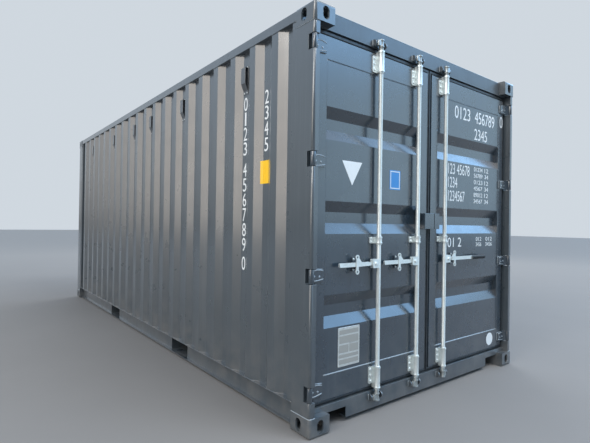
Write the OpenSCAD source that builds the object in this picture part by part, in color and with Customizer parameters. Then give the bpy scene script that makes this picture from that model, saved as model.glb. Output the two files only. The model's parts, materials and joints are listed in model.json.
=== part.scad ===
// Freight container, twenty feet long, with two corrugated double doors at the -Y end.
// The origin is on the ground under the middle of the box, +Z is up.
// In the plan outlines u runs inward from the side plane and v inward from the end plane.

/* [Overall] */
// Length over the corner castings
length = 6058; // [5600:1:6600]
// Width over the corner castings
width = 2438; // [2350:1:2550]
// Height over the corner castings
height = 2591; // [2450:1:2850]

/* [Corner castings] */
// Length of a casting along the container
casting_l = 178; // [172:1:190]
// Width of a casting across the container
casting_w = 162; // [156:1:172]
// Height of a casting
casting_h = 118; // [112:1:126]
// Rounding of the outer edges
casting_r = 20; // [6:0.5:20]
// Thickness of the side and end walls
casting_wall = 16; // [10:0.5:20]
// Thickness of the wall with the long aperture
casting_deck = 28.5; // [20:0.5:32]
// Thickness of the closed inner walls
casting_back = 10; // [6:0.5:12]
// Length of the top or bottom aperture
deck_slot_l = 124.5; // [112:0.5:128]
// Width of the top or bottom aperture
deck_slot_w = 63.5; // [56:0.5:68]
// Height of the side and end apertures
wall_slot_h = 79.5; // [64:0.5:80]
// Width of the side and end apertures
wall_slot_w = 51; // [40:0.5:56]
// Distance of the apertures from the end plane
slot_from_end = 102.5; // [98:0.5:104]
// Distance of the apertures from the side plane
slot_from_side = 89.5; // [84:0.5:94]
// Distance of the side and end apertures from the top or bottom face
slot_from_deck = 61; // [58:0.5:64]

/* [Corner posts] */
// Set back of the posts from the casting's side face
side_set = 4; // [2:0.5:6]
// Set back of the posts from the casting's end face
end_set = 6; // [4:0.5:8]
// Width of a post seen from its end
post_w = 45; // [42:0.5:60]
// Thickness of the post walls
post_wall = 8; // [5:0.5:10]
// Rounding of the post's outer corner
post_r = 16; // [6:0.5:18]
// Depth of the door post's front chamber, behind its front face
hinge_chamber = 54; // [53:0.5:60]

/* [Side walls and roof] */
// Depth of the side wall corrugation
wave_depth = 36; // [24:0.5:40]
// Outer flat of a wave
wave_crest = 72; // [60:0.5:80]
// Inner flat of a wave
wave_valley = 69.5; // [60:0.5:80]
// Length of the sloping face of a wave
wave_slope = 67; // [50:0.5:72]
// Width of the flat strip at each end of a corrugated sheet
strip_w = 49; // [30:1:70]
// Length of the step from that strip to the first inner flat
strip_step = 4; // [2:0.5:12]
// Shortest inner flat beside a strip
valley_min = 20; // [10:1:40]
// Thickness of the wall sheet
sheet_t = 2; // [1.5:0.1:3]
// Set back of the wall sheet from the casting's side face
sheet_set = 8; // [6:0.5:12]
// Depth of the end wall corrugation
end_wave_depth = 45.5; // [30:0.5:50]
// Outer flat of an end wall wave
end_wave_crest = 110; // [90:1:120]
// Inner flat of an end wall wave
end_wave_valley = 104; // [90:1:120]
// Length of the sloping face of an end wall wave
end_wave_slope = 18; // [10:1:30]
// Width of the flat top of a roof rib
rib_crown = 91.5; // [70:0.5:110]
// Flat between two roof ribs
rib_valley = 91.5; // [70:0.5:110]
// Length of the sloping face of a roof rib
rib_slope = 13.5; // [8:0.5:24]
// Flat border of the roof sheet beside the top rails
roof_border = 60; // [30:1:120]
// Height of the roof ribs
roof_rib_h = 20; // [10:0.5:22]

/* [Rails] */
// Height of the top side rail
top_rail_h = 60; // [50:1:70]
// Width of the top side rail
top_rail_w = 60; // [54:1:70]
// Distance of the top rails below the casting tops
top_rail_drop = 11; // [6:0.5:14]
// Wall thickness of the top rails
top_rail_t = 4; // [3:0.5:6]
// Height of the bottom side rail
bottom_rail_h = 150; // [145:1:160]
// Height of the bottom rails above the ground
bottom_rail_z = 17; // [13:0.5:22]
// Thickness of the bottom rails
bottom_rail_t = 5; // [4:0.5:6]
// Distance of the rail's web from the side plane
rail_web_set = 61; // [56:1:70]
// Width of the rail's lower flange
rail_lip = 30; // [20:1:40]

/* [Door end frame] */
// Distance of the header's lower edge below the casting tops
header_drop = 125; // [122:1:150]
// Set back of the header's face
header_set = 58; // [54:0.5:60]
// Height of the header
header_h = 111; // [104:1:114]
// Set back of the sill's face
sill_set = 54; // [53:0.5:56]
// Lower edge of the sill
sill_z = 29; // [20:1:40]
// Upper edge of the sill
sill_top = 149; // [146:1:152]
// Gap between the closed doors and the floor's edge
floor_gap = 8; // [6:1:16]
// Thickness of the header and sill plates
frame_t = 6; // [4:0.5:8]
// Width of the notches beside the bottom castings
notch_w = 191; // [150:1:220]
// Height of the notches above the ground
notch_top = 100; // [80:1:110]

/* [Base] */
// Thickness of the plywood floor
floor_t = 28; // [24:1:32]
// Top of the floor above the ground
floor_z = 170; // [168:1:176]
// Height of the cross members
joist_h = 122; // [110:1:122]
// Flange width of the cross members
joist_w = 45; // [35:1:60]
// Thickness of the cross members
joist_t = 4; // [3:0.5:5]
// Greatest distance between two cross members
joist_pitch = 380; // [300:5:500]
// Distance of a forklift pocket from the middle of the box
pocket_y = 1040; // [1000:1:1060]
// Clear width of a forklift pocket
pocket_w = 360; // [340:1:370]
// Thickness of the pocket plates
pocket_t = 4; // [3:0.5:5]

/* [Ventilators] */
// Width of the ventilator hood
vent_w = 58; // [40:1:64]
// Height of the ventilator's back plate
vent_h = 208; // [160:1:240]
// Depth of the hood
vent_depth = 25; // [15:1:32]
// Top of the ventilator below the casting tops
vent_drop = 171; // [140:1:220]
// Thickness of the ventilator's plates
vent_t = 3; // [2:0.5:4]
// Foot of the hood above the lower edge of the back plate
vent_foot = 27; // [10:1:40]
// Height of the hood's slope
vent_slope_h = 52; // [30:1:70]
// Top of the hood below the top of the back plate
vent_head = 13; // [8:1:30]

/* [Doors] */
// Set back of the door face from the casting ends
door_set = 62; // [60:0.5:66]
// Thickness of a door's frame
door_t = 50; // [44:1:54]
// Gap between the sill and the doors
door_low_gap = 29; // [25:1:33]
// Gap between the doors and the header
door_high_gap = 36; // [30:1:60]
// Gap between a door's frame and the corner post
door_side_gap = 30; // [26:1:34]
// Half of the gap between the doors' frames
door_mid_gap = 27; // [24:1:32]
// Width of the frame member beside the hinges
hinge_stile_w = 80; // [70:1:95]
// Width of the frame member at the middle of the doorway
free_stile_w = 83; // [70:1:95]
// Height of the top frame member
top_member_h = 143; // [110:1:160]
// Height of the bottom frame member
bottom_member_h = 152; // [120:1:170]
// Recess of the panel behind the frame's face
panel_set = 3; // [1:0.5:5]
// Thickness of the door panel
panel_t = 3; // [2:0.1:4]
// Depth of the panel's grooves
groove_depth = 36; // [20:0.5:40]
// Height of a groove's flat
groove_flat = 70; // [50:1:90]
// Height of a groove's slope
groove_slope = 68; // [40:1:80]
// Distance between grooves
groove_pitch = 587; // [450:1:620]
// Clearance of the gasket lips
gasket_gap = 5; // [4:0.5:8]
// Front of the gasket behind the door's face
gasket_set = 23; // [18:1:28]
// Depth of the gasket
gasket_depth = 23; // [14:1:24]

/* [Hinges] */
// Radius of the hinge pin
pin_r = 8; // [6:0.5:9]
// Gap between a hinge pin and the post's walls
pin_clear = 2; // [1:0.5:3]
// Running clearance of pins and rods in their bores
run_gap = 0.05; // [0.02:0.01:0.1]
// Outer radius of the hinge knuckle
knuckle_r = 16.5; // [14:0.5:17]
// Height of the hinge knuckle
knuckle_h = 86; // [70:1:92]
// Height of the opening in the post at a hinge
hinge_window_h = 93; // [92:1:110]
// Thickness of the lug above and below the knuckle
lug_t = 8; // [5:0.5:12]
// Thickness of the hinge blade
blade_t = 12; // [8:0.5:14]
// Thickness of the blade's arm past the post
arm_t = 10; // [8:0.5:11]
// Reach of the hinge blade over the door
blade_reach = 66; // [50:1:90]
// Height of the hinge blade at its free edge
blade_tip_h = 68; // [50:1:84]
// Straight lead of the hinge blade before the door's edge
blade_lead = 18; // [12:0.5:22]
// Full height part of the hinge blade beside its knuckle
blade_root = 14; // [6:0.5:20]
// Lowest hinge above the door's lower edge
hinge_inset_low = 78; // [70:1:140]
// Highest hinge below the door's upper edge
hinge_inset_high = 80; // [70:1:140]
// Number of hinges on each door
hinge_count = 4; // [3:1:4]

/* [Locking rods] */
// Radius of a locking rod
rod_r = 15; // [13:0.5:16]
// Set back of the rods' axes
rod_set = 30; // [29:0.5:33]
// Distance of the rods beside the doorway's middle from it
rod_x_mid = 173; // [165:1:185]
// Distance of the outer rod from the doorway's middle
rod_x_out = 598; // [580:1:620]
// Middle of the lower cams above the sill's lower edge
cam_on_sill = 81; // [76:1:86]
// Middle of the upper cams above the header's lower edge
cam_on_header = 27; // [24:1:60]
// Height of the rod's cam
cam_h = 52; // [40:1:54]
// Radius of the rims above and below the cam's finger
cam_rim_r = 19; // [17:0.5:19]
// Height of those rims
cam_rim_h = 9; // [6:0.5:12]
// Reach of the cam's finger from the rod's axis
cam_reach = 38; // [32:1:42]
// Thickness of the cam's finger
cam_t = 20; // [12:1:24]
// Width of a keeper
keeper_w = 112; // [110:1:140]
// Height of a keeper
keeper_h = 44; // [34:1:50]
// Thickness of a keeper's ears
keeper_ear_t = 12; // [8:0.5:14]
// Reach of a keeper's ears in front of its plate
keeper_reach = 27; // [26:1:34]
// Thickness of a keeper's plate
keeper_t = 3; // [2:0.5:3]
// Outer radius of the bearing sleeves
sleeve_r = 21; // [19:0.5:22]
// Extra radius of the rims at the ends of a bearing sleeve
sleeve_rim = 2.5; // [1:0.5:4]
// Height of the rims at the ends of a bearing sleeve
sleeve_rim_h = 8; // [5:0.5:12]
// Width of the web that carries a bearing sleeve
saddle_w = 34; // [24:1:38]
// Height of the end bearings
bearing_h = 140; // [100:1:150]
// Reach of the end bearings past the edge of the door
bearing_over = 9; // [5:0.5:10]
// Height of the middle guides
guide_h = 44; // [30:1:60]
// Width of a middle guide's foot
guide_foot_w = 38; // [30:1:40]
// Height of the middle guides above the ground
guide_z = 1163; // [1140:1:1200]
// Width of a bracket's foot
foot_w = 34; // [28:1:60]
// Width of the foot's narrow side, right of the sleeve
foot_edge = 10; // [6:1:16]
// Rounding of the foot's corners
foot_r = 9; // [4:0.5:14]
// Height of an end bearing's foot
foot_h = 112; // [80:1:120]
// Thickness of a bracket's foot
foot_t = 7; // [5:0.5:9]

/* [Handles] */
// Height of the handles above the ground
handle_z = 1008; // [960:1:1050]
// Distance of a handle's pivot from the rod's axis
pivot_x = 40; // [36:1:46]
// Length of the clevis plates from the rod's axis
clevis_l = 68; // [60:1:72]
// Height of the clevis plates
clevis_h = 60; // [50:1:66]
// Thickness of the clevis plates
clevis_t = 8; // [5:0.5:10]
// Rounding of the clevis plates
clevis_r = 8; // [4:0.5:12]
// Radius of a handle's eye
eye_r = 22; // [16:0.5:23]
// Radius of a handle's pivot pin
pivot_r = 8; // [6:0.5:10]
// Thickness of a handle
handle_t = 10; // [8:0.5:12]
// Play between a handle and each clevis plate
play = 1; // [0.5:0.1:2]
// Thickness of the head on a handle's pivot pin
pin_head_t = 5; // [3:0.5:6]
// Height of a handle's neck
neck_h = 21; // [16:0.5:24]
// Length of a handle's neck from its pivot
neck_l = 48; // [40:1:60]
// Length of the shoulder from the neck to the bar
shoulder = 12; // [6:1:20]
// Height of a handle's bar
handle_h = 27; // [22:0.5:30]
// Thickness of a handle's bar
bar_t = 14; // [12:0.5:18]
// Rounding of the bar's tip
tip_r = 7; // [3:0.5:10]
// Length of a handle from the rod's axis to its tip
handle_l = 368; // [330:1:400]
// Length of the handle with a grip, from the rod's axis to its tip
grip_handle_l = 593; // [500:1:640]
// Length of the rubber grip
grip_l = 200; // [150:1:240]
// Distance of a catch from the rod's axis
catch_x = 215; // [190:1:240]
// Distance of the grip handle's catch from the rod's axis
grip_catch_x = 132; // [130:1:240]
// Distance of the seal plate's eyes from the middle of the bar
seal_half = 47; // [44:1:60]
// Width of the seal plate between its eyes
seal_waist = 20; // [14:1:28]
// Radius of the holes in the seal plate
seal_hole_r = 8; // [5:0.5:10]
// Reach of the seal plate's strap along the bar
seal_strap = 40; // [30:1:42]
// Radius of the ends of the seal plate
seal_r = 16; // [15:0.5:24]
// Gap between a handle and the catch below or behind it
catch_gap = 5; // [3:0.5:8]
// Thickness of the catch plates
catch_t = 6; // [4:0.5:8]
// Width of a catch
catch_w = 26; // [24:1:50]
// Rounding of the catch plates
catch_r = 8; // [3:0.5:11]

/* [Lock box] */
// Left side of the lock box from the middle of the doorway
lockbox_left = 117; // [100:1:125]
// Right side of the lock box from the middle of the doorway
lockbox_right = 65; // [50:1:90]
// Lower edge of the lock box
lockbox_z = 1241; // [1220:1:1260]
// Height of the lock box
lockbox_h = 117; // [90:1:130]
// Set back of the lock box's face
lockbox_set = 5; // [4:0.5:10]
// Thickness of the lock box's plates
lockbox_t = 4; // [3:0.5:6]
// Gap between the halves of the lock box
lockbox_gap = 6; // [5:0.5:12]

/* [Hidden] */
$fn = 64;

paint = "slategray";
galvanised = "gainsboro";
rubber = "black";
plywood = "peru";

half_l = length / 2;
half_w = width / 2;
seal_back = bar_t / 2 - 1;
post_x = half_w - side_set - post_w;
post_len = casting_l - end_set;
rail_l = length - 2 * casting_l;
top_rail_z = height - top_rail_drop - top_rail_h;
bottom_rail_top = bottom_rail_z + bottom_rail_h;
web_x = half_w - rail_web_set - bottom_rail_t;
wave_pitch = wave_crest + wave_valley + 2 * wave_slope;
// Valleys of a side wall, counted from its middle, with a pair of ventilators at each
VENT_VALLEYS = [1, 4, 8];
header_z = height - header_drop;
door_z = sill_top + door_low_gap;
door_top = header_z - door_high_gap;
floor_under = floor_z - floor_t;
door_back = door_set + door_t;
sill_back = door_back + floor_gap;
leaf_x_out = post_x - door_side_gap;
leaf_x_in = door_mid_gap;
panel_x_out = leaf_x_out - hinge_stile_w;
panel_x_in = leaf_x_in + free_stile_w;
panel_z = door_z + bottom_member_h;
panel_top = door_top - top_member_h;
hinge_u = side_set + post_wall + pin_r + pin_clear;
hinge_v = end_set + post_wall + pin_r + pin_clear;
hinge_low = door_z + hinge_inset_low;
hinge_pitch = (door_top - hinge_inset_high - hinge_low) / (hinge_count - 1);
rod_z = sill_z + cam_on_sill - cam_h / 2;
rod_top = header_z + cam_on_header + cam_h / 2;
hinge_x = half_w - hinge_u;
hinge_y = -half_l + hinge_v;
blade_edge = side_set + post_w + door_side_gap - hinge_u;
rod_y = -half_l + rod_set;

// Copies a shape to both sides of the container
module both_sides() {
    children();
    mirror([1, 0, 0]) children();
}

// Copies a shape to both ends of the container
module both_ends() {
    children();
    mirror([0, 1, 0]) children();
}

// Slot with round ends, centred, long side along X
module stadium(l, w) {
    square([l - w, w], center = true);
    for (s = [-1, 1]) translate([s * (l - w) / 2, 0]) circle(d = w);
}

// Rectangle with four round corners, centred
module rounded_plate(l, w, r) {
    square([l - 2 * r, w], center = true);
    square([l, w - 2 * r], center = true);
    for (x = [-1, 1], y = [-1, 1]) translate([x * (l / 2 - r), y * (w / 2 - r)]) circle(r);
}

// Square with one corner at the origin rounded
module corner_square(size, r) {
    difference() {
        square(size);
        difference() {
            translate([-1, -1]) square(r + 1);
            translate([r, r]) circle(r);
        }
    }
}

// Corner casting with its outer corner at the origin, body towards +X, +Y and +Z
module casting_block() {
    difference() {
        intersection() {
            linear_extrude(casting_h) corner_square([casting_w, casting_l], casting_r);
            rotate([90, 0, 90]) linear_extrude(casting_w) corner_square([casting_l, casting_h], casting_r);
            translate([0, casting_l, 0]) rotate([90, 0, 0]) linear_extrude(casting_l)
                corner_square([casting_w, casting_h], casting_r);
        }
        translate([casting_wall, casting_wall, casting_deck])
            cube([
                casting_w - casting_wall - casting_back,
                casting_l - casting_wall - casting_back,
                casting_h - casting_deck - casting_back
            ]);
        translate([slot_from_side, slot_from_end, -1]) rotate(90)
            linear_extrude(casting_deck + 2) stadium(deck_slot_l, deck_slot_w);
        translate([-1, slot_from_end, slot_from_deck]) rotate([90, 0, 90]) rotate(90)
            linear_extrude(casting_wall + 2) stadium(wall_slot_h, wall_slot_w);
        translate([slot_from_side, casting_wall + 1, slot_from_deck]) rotate([90, 0, 0]) rotate(90)
            linear_extrude(casting_wall + 2) stadium(wall_slot_h, wall_slot_w);
    }
}

// Casting at one of the eight corners; each sign picks a side of the container
module casting(sx, sy, top) {
    color(paint)
    mirror([sx > 0 ? 1 : 0, 0, 0]) mirror([0, sy > 0 ? 1 : 0, 0])
    translate([-half_w, -half_l, top ? height : 0]) mirror([0, 0, top ? 1 : 0]) casting_block();
}

module casting_door_left_bottom() { casting(-1, -1, false); }
module casting_door_right_bottom() { casting(1, -1, false); }
module casting_door_left_top() { casting(-1, -1, true); }
module casting_door_right_top() { casting(1, -1, true); }
module casting_end_left_bottom() { casting(-1, 1, false); }
module casting_end_right_bottom() { casting(1, 1, false); }
module casting_end_left_top() { casting(-1, 1, true); }
module casting_end_right_top() { casting(1, 1, true); }

// Plan of a post's outside, from the corner of the casting
module post_outline() {
    translate([side_set, end_set]) corner_square([post_w, post_len], post_r);
}

// Chamber of a post between two distances from the end plane
module post_chamber(v0, v1) {
    translate([side_set + post_wall, v0]) square([post_w - 2 * post_wall, v1 - v0]);
}

chamber_front = end_set + post_wall;
chamber_back = end_set + hinge_chamber;

// Door post with a front chamber for the hinges, opened at each hinge
module door_post() {
    translate([-half_w, -half_l, 0])
    difference() {
        translate([0, 0, casting_h]) linear_extrude(height - 2 * casting_h)
            difference() {
                post_outline();
                post_chamber(chamber_front, chamber_back);
                post_chamber(chamber_back + post_wall, casting_l - post_wall);
            }
        for (z = hinge_levels())
            translate([0, 0, z - hinge_window_h / 2])
                cube([side_set + post_w + 1, chamber_back, hinge_window_h]);
    }
}

function hinge_levels() = [for (i = [0 : hinge_count - 1]) hinge_low + i * hinge_pitch];

module door_post_left() { color(paint) door_post(); }
module door_post_right() { color(paint) mirror([1, 0, 0]) door_post(); }

// Post at the closed end: a pressed section, open towards the inside
module end_post() {
    translate([-half_w, half_l, casting_h]) mirror([0, 1, 0])
        linear_extrude(height - 2 * casting_h)
            difference() {
                post_outline();
                translate([side_set + post_wall, end_set + post_wall])
                    square([post_w, post_len - 2 * post_wall]);
            }
}

module end_post_left() { color(paint) end_post(); }
module end_post_right() { color(paint) mirror([1, 0, 0]) end_post(); }

// Bar along X between the posts, from an outline in depth behind the door plane and height
module bar_across(x) {
    translate([-x, -half_l, 0]) rotate([90, 0, 90]) linear_extrude(2 * x) children();
}

// Room taken by the castings at the door end
module casting_room() {
    both_sides() translate([-half_w, -half_l, 0]) {
        translate([0, 0, -1]) cube([casting_w, casting_l, casting_h + 1]);
        translate([0, 0, height - casting_h]) cube([casting_w, casting_l, casting_h + 1]);
    }
}

// Header: a channel open to the roof side
module header_section() {
    difference() {
        translate([header_set, header_z]) square([casting_l - header_set, header_h]);
        translate([header_set + frame_t, header_z + frame_t])
            square([casting_l - header_set - 2 * frame_t, header_h]);
    }
}

module door_header() {
    color(paint)
    difference() {
        bar_across(post_x) header_section();
        casting_room();
    }
}

// Sill: a channel open to the rear, with notches beside the castings
module sill_section() {
    difference() {
        translate([sill_set, sill_z]) square([sill_back - sill_set, sill_top - sill_z]);
        translate([sill_set + frame_t, sill_z + frame_t])
            square([sill_back, sill_top - sill_z - 2 * frame_t]);
    }
}

module door_sill() {
    color(paint)
    difference() {
        bar_across(post_x) sill_section();
        casting_room();
        both_sides()
            translate([-half_w + casting_w - 1, -half_l, 0])
                cube([notch_w + 1, casting_l, notch_top]);
    }
}

// Closed end: a channel below and a tube above the end wall
module end_bottom_rail() {
    color(paint)
    difference() {
        mirror([0, 1, 0]) bar_across(post_x)
            difference() {
                translate([end_set, bottom_rail_z]) square([sill_back - end_set, bottom_rail_h]);
                translate([end_set + frame_t, bottom_rail_z + frame_t])
                    square([sill_back, bottom_rail_h - 2 * frame_t]);
            }
        mirror([0, 1, 0]) casting_room();
    }
}

module end_top_rail() {
    color(paint)
    difference() {
        mirror([0, 1, 0]) bar_across(post_x)
            difference() {
                translate([end_set, header_z]) square([casting_l - end_set, header_h]);
                translate([end_set + frame_t, header_z + frame_t])
                    square([casting_l - end_set - 2 * frame_t, header_h]);
            }
        mirror([0, 1, 0]) casting_room();
    }
}

// Bar along Y between the castings, from an outline in u and z
module bar_along() {
    translate([-half_w, rail_l / 2, 0]) rotate([90, 0, 0]) linear_extrude(rail_l) children();
}

module top_rail() {
    bar_along()
        translate([side_set, top_rail_z])
            difference() {
                square([top_rail_w, top_rail_h]);
                translate([top_rail_t, top_rail_t])
                    square([top_rail_w - 2 * top_rail_t, top_rail_h - 2 * top_rail_t]);
            }
}

module top_rail_left() { color(paint) top_rail(); }
module top_rail_right() { color(paint) mirror([1, 0, 0]) top_rail(); }

// Bottom rail: a channel open to the outside, pierced by the forklift pockets
module bottom_rail() {
    difference() {
        bar_along() {
            translate([rail_web_set, bottom_rail_z]) square([bottom_rail_t, bottom_rail_h]);
            translate([sheet_set, bottom_rail_top - bottom_rail_t])
                square([rail_web_set - sheet_set + 1, bottom_rail_t]);
            translate([rail_web_set - rail_lip, bottom_rail_z]) square([rail_lip + 1, bottom_rail_t]);
        }
        both_ends()
            translate([-half_w, pocket_y - pocket_w / 2, bottom_rail_z + bottom_rail_t])
                cube([rail_web_set + bottom_rail_t + 1, pocket_w, pocket_clear]);
    }
}

pocket_clear = floor_under - pocket_t - bottom_rail_z - bottom_rail_t;

module bottom_rail_left() { color(paint) bottom_rail(); }
module bottom_rail_right() { color(paint) mirror([1, 0, 0]) bottom_rail(); }

// How many waves of one pitch a sheet takes between its end strips
function wave_total(l, pitch, valley) = floor((l - 2 * strip_w - 2 * valley_min + valley) / pitch);

// One face of a corrugated sheet as points from -l/2 to l/2, outer flats at 0 and inner ones at depth
function wave_points(l, crest, valley, slope, depth) =
    let (
        pitch = crest + valley + 2 * slope,
        total = wave_total(l, pitch, valley),
        edge = l / 2 - strip_w
    )
    concat(
        [[-l / 2, 0], [-edge - strip_step, 0], [-edge, depth]],
        [for (i = [0 : total - 1])
            let (c = (i - (total - 1) / 2) * pitch)
            for (p = [
                [c - crest / 2 - slope, depth],
                [c - crest / 2, 0],
                [c + crest / 2, 0],
                [c + crest / 2 + slope, depth]
            ]) p],
        [[edge, depth], [edge + strip_step, 0], [l / 2, 0]]
    );

function reversed(points) = [for (i = [len(points) - 1 : -1 : 0]) points[i]];

function lean(p, q) = atan2(q[1] - p[1], q[0] - p[0]);

// A face moved t deeper square to itself; each of its points ends one sloping part, which leans by a
function deeper(face, t) =
    let (last = len(face) - 1)
    [for (i = [0 : last])
        let (a = (i > 0 ? lean(face[i - 1], face[i]) : 0) + (i < last ? lean(face[i], face[i + 1]) : 0))
        [face[i][0] - t * tan(a / 2), face[i][1] + t]];

// Section of a corrugated sheet, its outer flats at 0 and the rest behind them
module sheet_section(l, crest, valley, slope, depth) {
    outer = wave_points(l, crest, valley, slope, depth);
    polygon(concat(outer, reversed(deeper(outer, sheet_t))));
}

module side_wall() {
    translate([-half_w + sheet_set, 0, bottom_rail_top])
        linear_extrude(top_rail_z - bottom_rail_top)
            rotate(90) mirror([0, 1])
                sheet_section(rail_l, wave_crest, wave_valley, wave_slope, wave_depth);
}

module side_wall_left() { color(paint) side_wall(); }
module side_wall_right() { color(paint) mirror([1, 0, 0]) side_wall(); }

// End wall sheet between the end posts
module end_wall() {
    color(paint)
    translate([0, half_l - sheet_set, bottom_rail_top])
        linear_extrude(header_z - bottom_rail_top)
            mirror([0, 1])
                sheet_section(2 * post_x, end_wave_crest, end_wave_valley, end_wave_slope, end_wave_depth);
}

// Bodies of the roof ribs, t under the sheet's upper face and sloping down on all sides; over lengthens them
module roof_ribs(t, over) {
    sink = sheet_t / 4;
    crown = sheet_t + roof_rib_h;
    drop = roof_rib_h + 2 * sink;
    lean = atan2(drop, rib_slope);
    half = half_w - side_set - top_rail_w - roof_border - t * tan(lean / 2);
    run = (drop - sink) / tan(lean);
    face = deeper(wave_points(rail_l, rib_crown, rib_valley, rib_slope, drop), t);
    end = rail_l / 2;
    intersection() {
        translate([-half_w, 0, 0]) rotate([90, 0, 90]) linear_extrude(width)
            polygon(concat(
                [[-end - 2, -drop], [-end - 2, crown - t]],
                [for (p = face) [p[0], crown - p[1]]],
                [[end + 2, crown - t], [end + 2, -drop]]
            ));
        translate([0, end + over, 0]) rotate([90, 0, 0]) linear_extrude(2 * end + 2 * over)
            polygon([
                [-half - run, sheet_t - sink - t], [-half, crown - t],
                [half, crown - t], [half + run, sheet_t - sink - t]
            ]);
    }
}

// Roof sheet between the top rails, with ribs pressed up across the container
module roof_panel() {
    span = width - 2 * side_set - 2 * top_rail_w;
    color(paint)
    translate([0, 0, height - top_rail_drop - roof_rib_h])
    difference() {
        union() {
            translate([-span / 2, -rail_l / 2, 0]) cube([span, rail_l, sheet_t]);
            roof_ribs(0, 0);
        }
        roof_ribs(sheet_t, 1);
    }
}

// Plate on top of the header or end rail, between the castings, from a set back inward
module roof_end_plate(set_back) {
    translate([-half_w + casting_w, -half_l + set_back, header_z + header_h])
        cube([width - 2 * casting_w, casting_l - set_back, frame_t]);
}

module roof_end_plates() {
    color(paint) {
        roof_end_plate(header_set);
        mirror([0, 1, 0]) roof_end_plate(end_set);
    }
}

module floor_boards() {
    color(plywood)
    translate([-web_x, -half_l + sill_back, floor_under])
        cube([2 * web_x, length - 2 * sill_back, floor_t]);
}

// Cross member: a channel between the bottom rails, open towards +Y
module joist(y) {
    translate([-web_x, y - joist_w / 2, floor_under - joist_h])
        rotate([90, 0, 90]) linear_extrude(2 * web_x)
            difference() {
                square([joist_w, joist_h]);
                translate([joist_t, joist_t]) square([joist_w, joist_h - 2 * joist_t]);
            }
}

// Cross members spread from one place to another, both included
module joist_row(y0, y1) {
    gaps = ceil((y1 - y0) / joist_pitch);
    for (i = [0 : gaps]) joist(y0 + (y1 - y0) * i / gaps);
}

module cross_members() {
    inner_end = pocket_y - pocket_w / 2 - joist_w;
    outer_start = pocket_y + pocket_w / 2 + 2 * joist_w;
    outer_end = half_l - casting_l - joist_w;
    color(paint) {
        joist_row(-inner_end, inner_end);
        joist_row(outer_start, outer_end);
        joist_row(-outer_end, -outer_start);
    }
}

// Forklift pockets: two rectangular tunnels across the base
module forklift_pockets() {
    color(paint)
    both_ends()
        translate([-web_x, pocket_y - pocket_w / 2, bottom_rail_z + bottom_rail_t])
            rotate([90, 0, 90]) linear_extrude(2 * web_x)
                difference() {
                    translate([-pocket_t, -pocket_t])
                        square([pocket_w + 2 * pocket_t, pocket_clear + 2 * pocket_t]);
                    square([pocket_w, pocket_clear]);
                }
}

// Outline of a ventilator's hood in depth and height, with its walls moved inward by t
module vent_outline(t) {
    slope = vent_slope_h / vent_depth;
    polygon([
        [1, vent_foot + t * (1 + slope)],
        [0, vent_foot + t * (1 + slope)],
        [-vent_depth + t, vent_foot + vent_slope_h + t],
        [-vent_depth + t, vent_h - vent_head - t],
        [1, vent_h - vent_head - t]
    ]);
}

// Side ventilator in a valley of the wall: a back plate, a hood open at both sides and a baffle
module ventilator(y) {
    valley_u = sheet_set + wave_depth;
    plate_w = wave_valley - 2 * sheet_t;
    translate([-half_w + valley_u - vent_t, y, height - vent_drop - vent_h]) {
        translate([0, -plate_w / 2, 0]) cube([vent_t, plate_w, vent_h]);
        translate([0, vent_w / 2, 0]) rotate([90, 0, 0])
            difference() {
                linear_extrude(vent_w) vent_outline(0);
                for (z = [-1, vent_w / 2 + vent_t / 2])
                    translate([0, 0, z]) linear_extrude(vent_w / 2 - vent_t / 2 + 1) vent_outline(vent_t);
            }
    }
}

// Middle of a side wall's valley, counted from the middle of the wall
function valley_y(k) = (k + (wave_total(rail_l, wave_pitch, wave_valley) % 2) / 2) * wave_pitch;

module ventilators() {
    for (k = VENT_VALLEYS, s = [-1, 1]) ventilator(s * valley_y(k));
}

module ventilators_left() { color(paint) ventilators(); }
module ventilators_right() { color(paint) mirror([1, 0, 0]) ventilators(); }

// Hinge pins, each with the two lugs that carry it inside the post
module hinge_pins() {
    for (z = hinge_levels()) {
        translate([-hinge_x, hinge_y, z - hinge_window_h / 2 - lug_t])
            cylinder(r = pin_r, h = hinge_window_h + 2 * lug_t);
        for (zl = [z - hinge_window_h / 2 - lug_t, z + hinge_window_h / 2])
            translate([-half_w, -half_l, zl]) linear_extrude(lug_t)
                post_chamber(chamber_front, chamber_back);
    }
}

module hinge_pins_left() { color(paint) hinge_pins(); }
module hinge_pins_right() { color(paint) mirror([1, 0, 0]) hinge_pins(); }

// Plan of a hinge blade: an arm from the hinge axis past the post, then a plate on the door
module blade_plan() {
    knee = [blade_edge - blade_lead, door_set - hinge_v - blade_t / 2];
    rotate(atan2(knee[1], knee[0])) translate([0, -arm_t / 2]) square([norm(knee), arm_t]);
    translate(knee) circle(d = blade_t);
    translate([knee[0], knee[1] - blade_t / 2]) square([blade_edge + blade_reach - knee[0], blade_t]);
}

module hinge_blade(z) {
    reach = blade_edge + blade_reach;
    root = knuckle_r + blade_root;
    translate([-hinge_x, hinge_y, z - knuckle_h / 2])
    difference() {
        union() {
            cylinder(r = knuckle_r, h = knuckle_h);
            intersection() {
                linear_extrude(knuckle_h) blade_plan();
                translate([0, door_set, 0]) rotate([90, 0, 0]) linear_extrude(2 * door_set)
                    polygon([
                        [-knuckle_r, 0], [root, 0],
                        [reach, (knuckle_h - blade_tip_h) / 2], [reach, (knuckle_h + blade_tip_h) / 2],
                        [root, knuckle_h], [-knuckle_r, knuckle_h]
                    ]);
            }
        }
        translate([0, 0, -1]) cylinder(r = pin_r + run_gap, h = knuckle_h + 2);
    }
}

module hinge_blades() {
    for (z = hinge_levels()) hinge_blade(z);
}

module hinge_blades_left() { color(paint) hinge_blades(); }
module hinge_blades_right() { color(paint) mirror([1, 0, 0]) hinge_blades(); }

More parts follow.
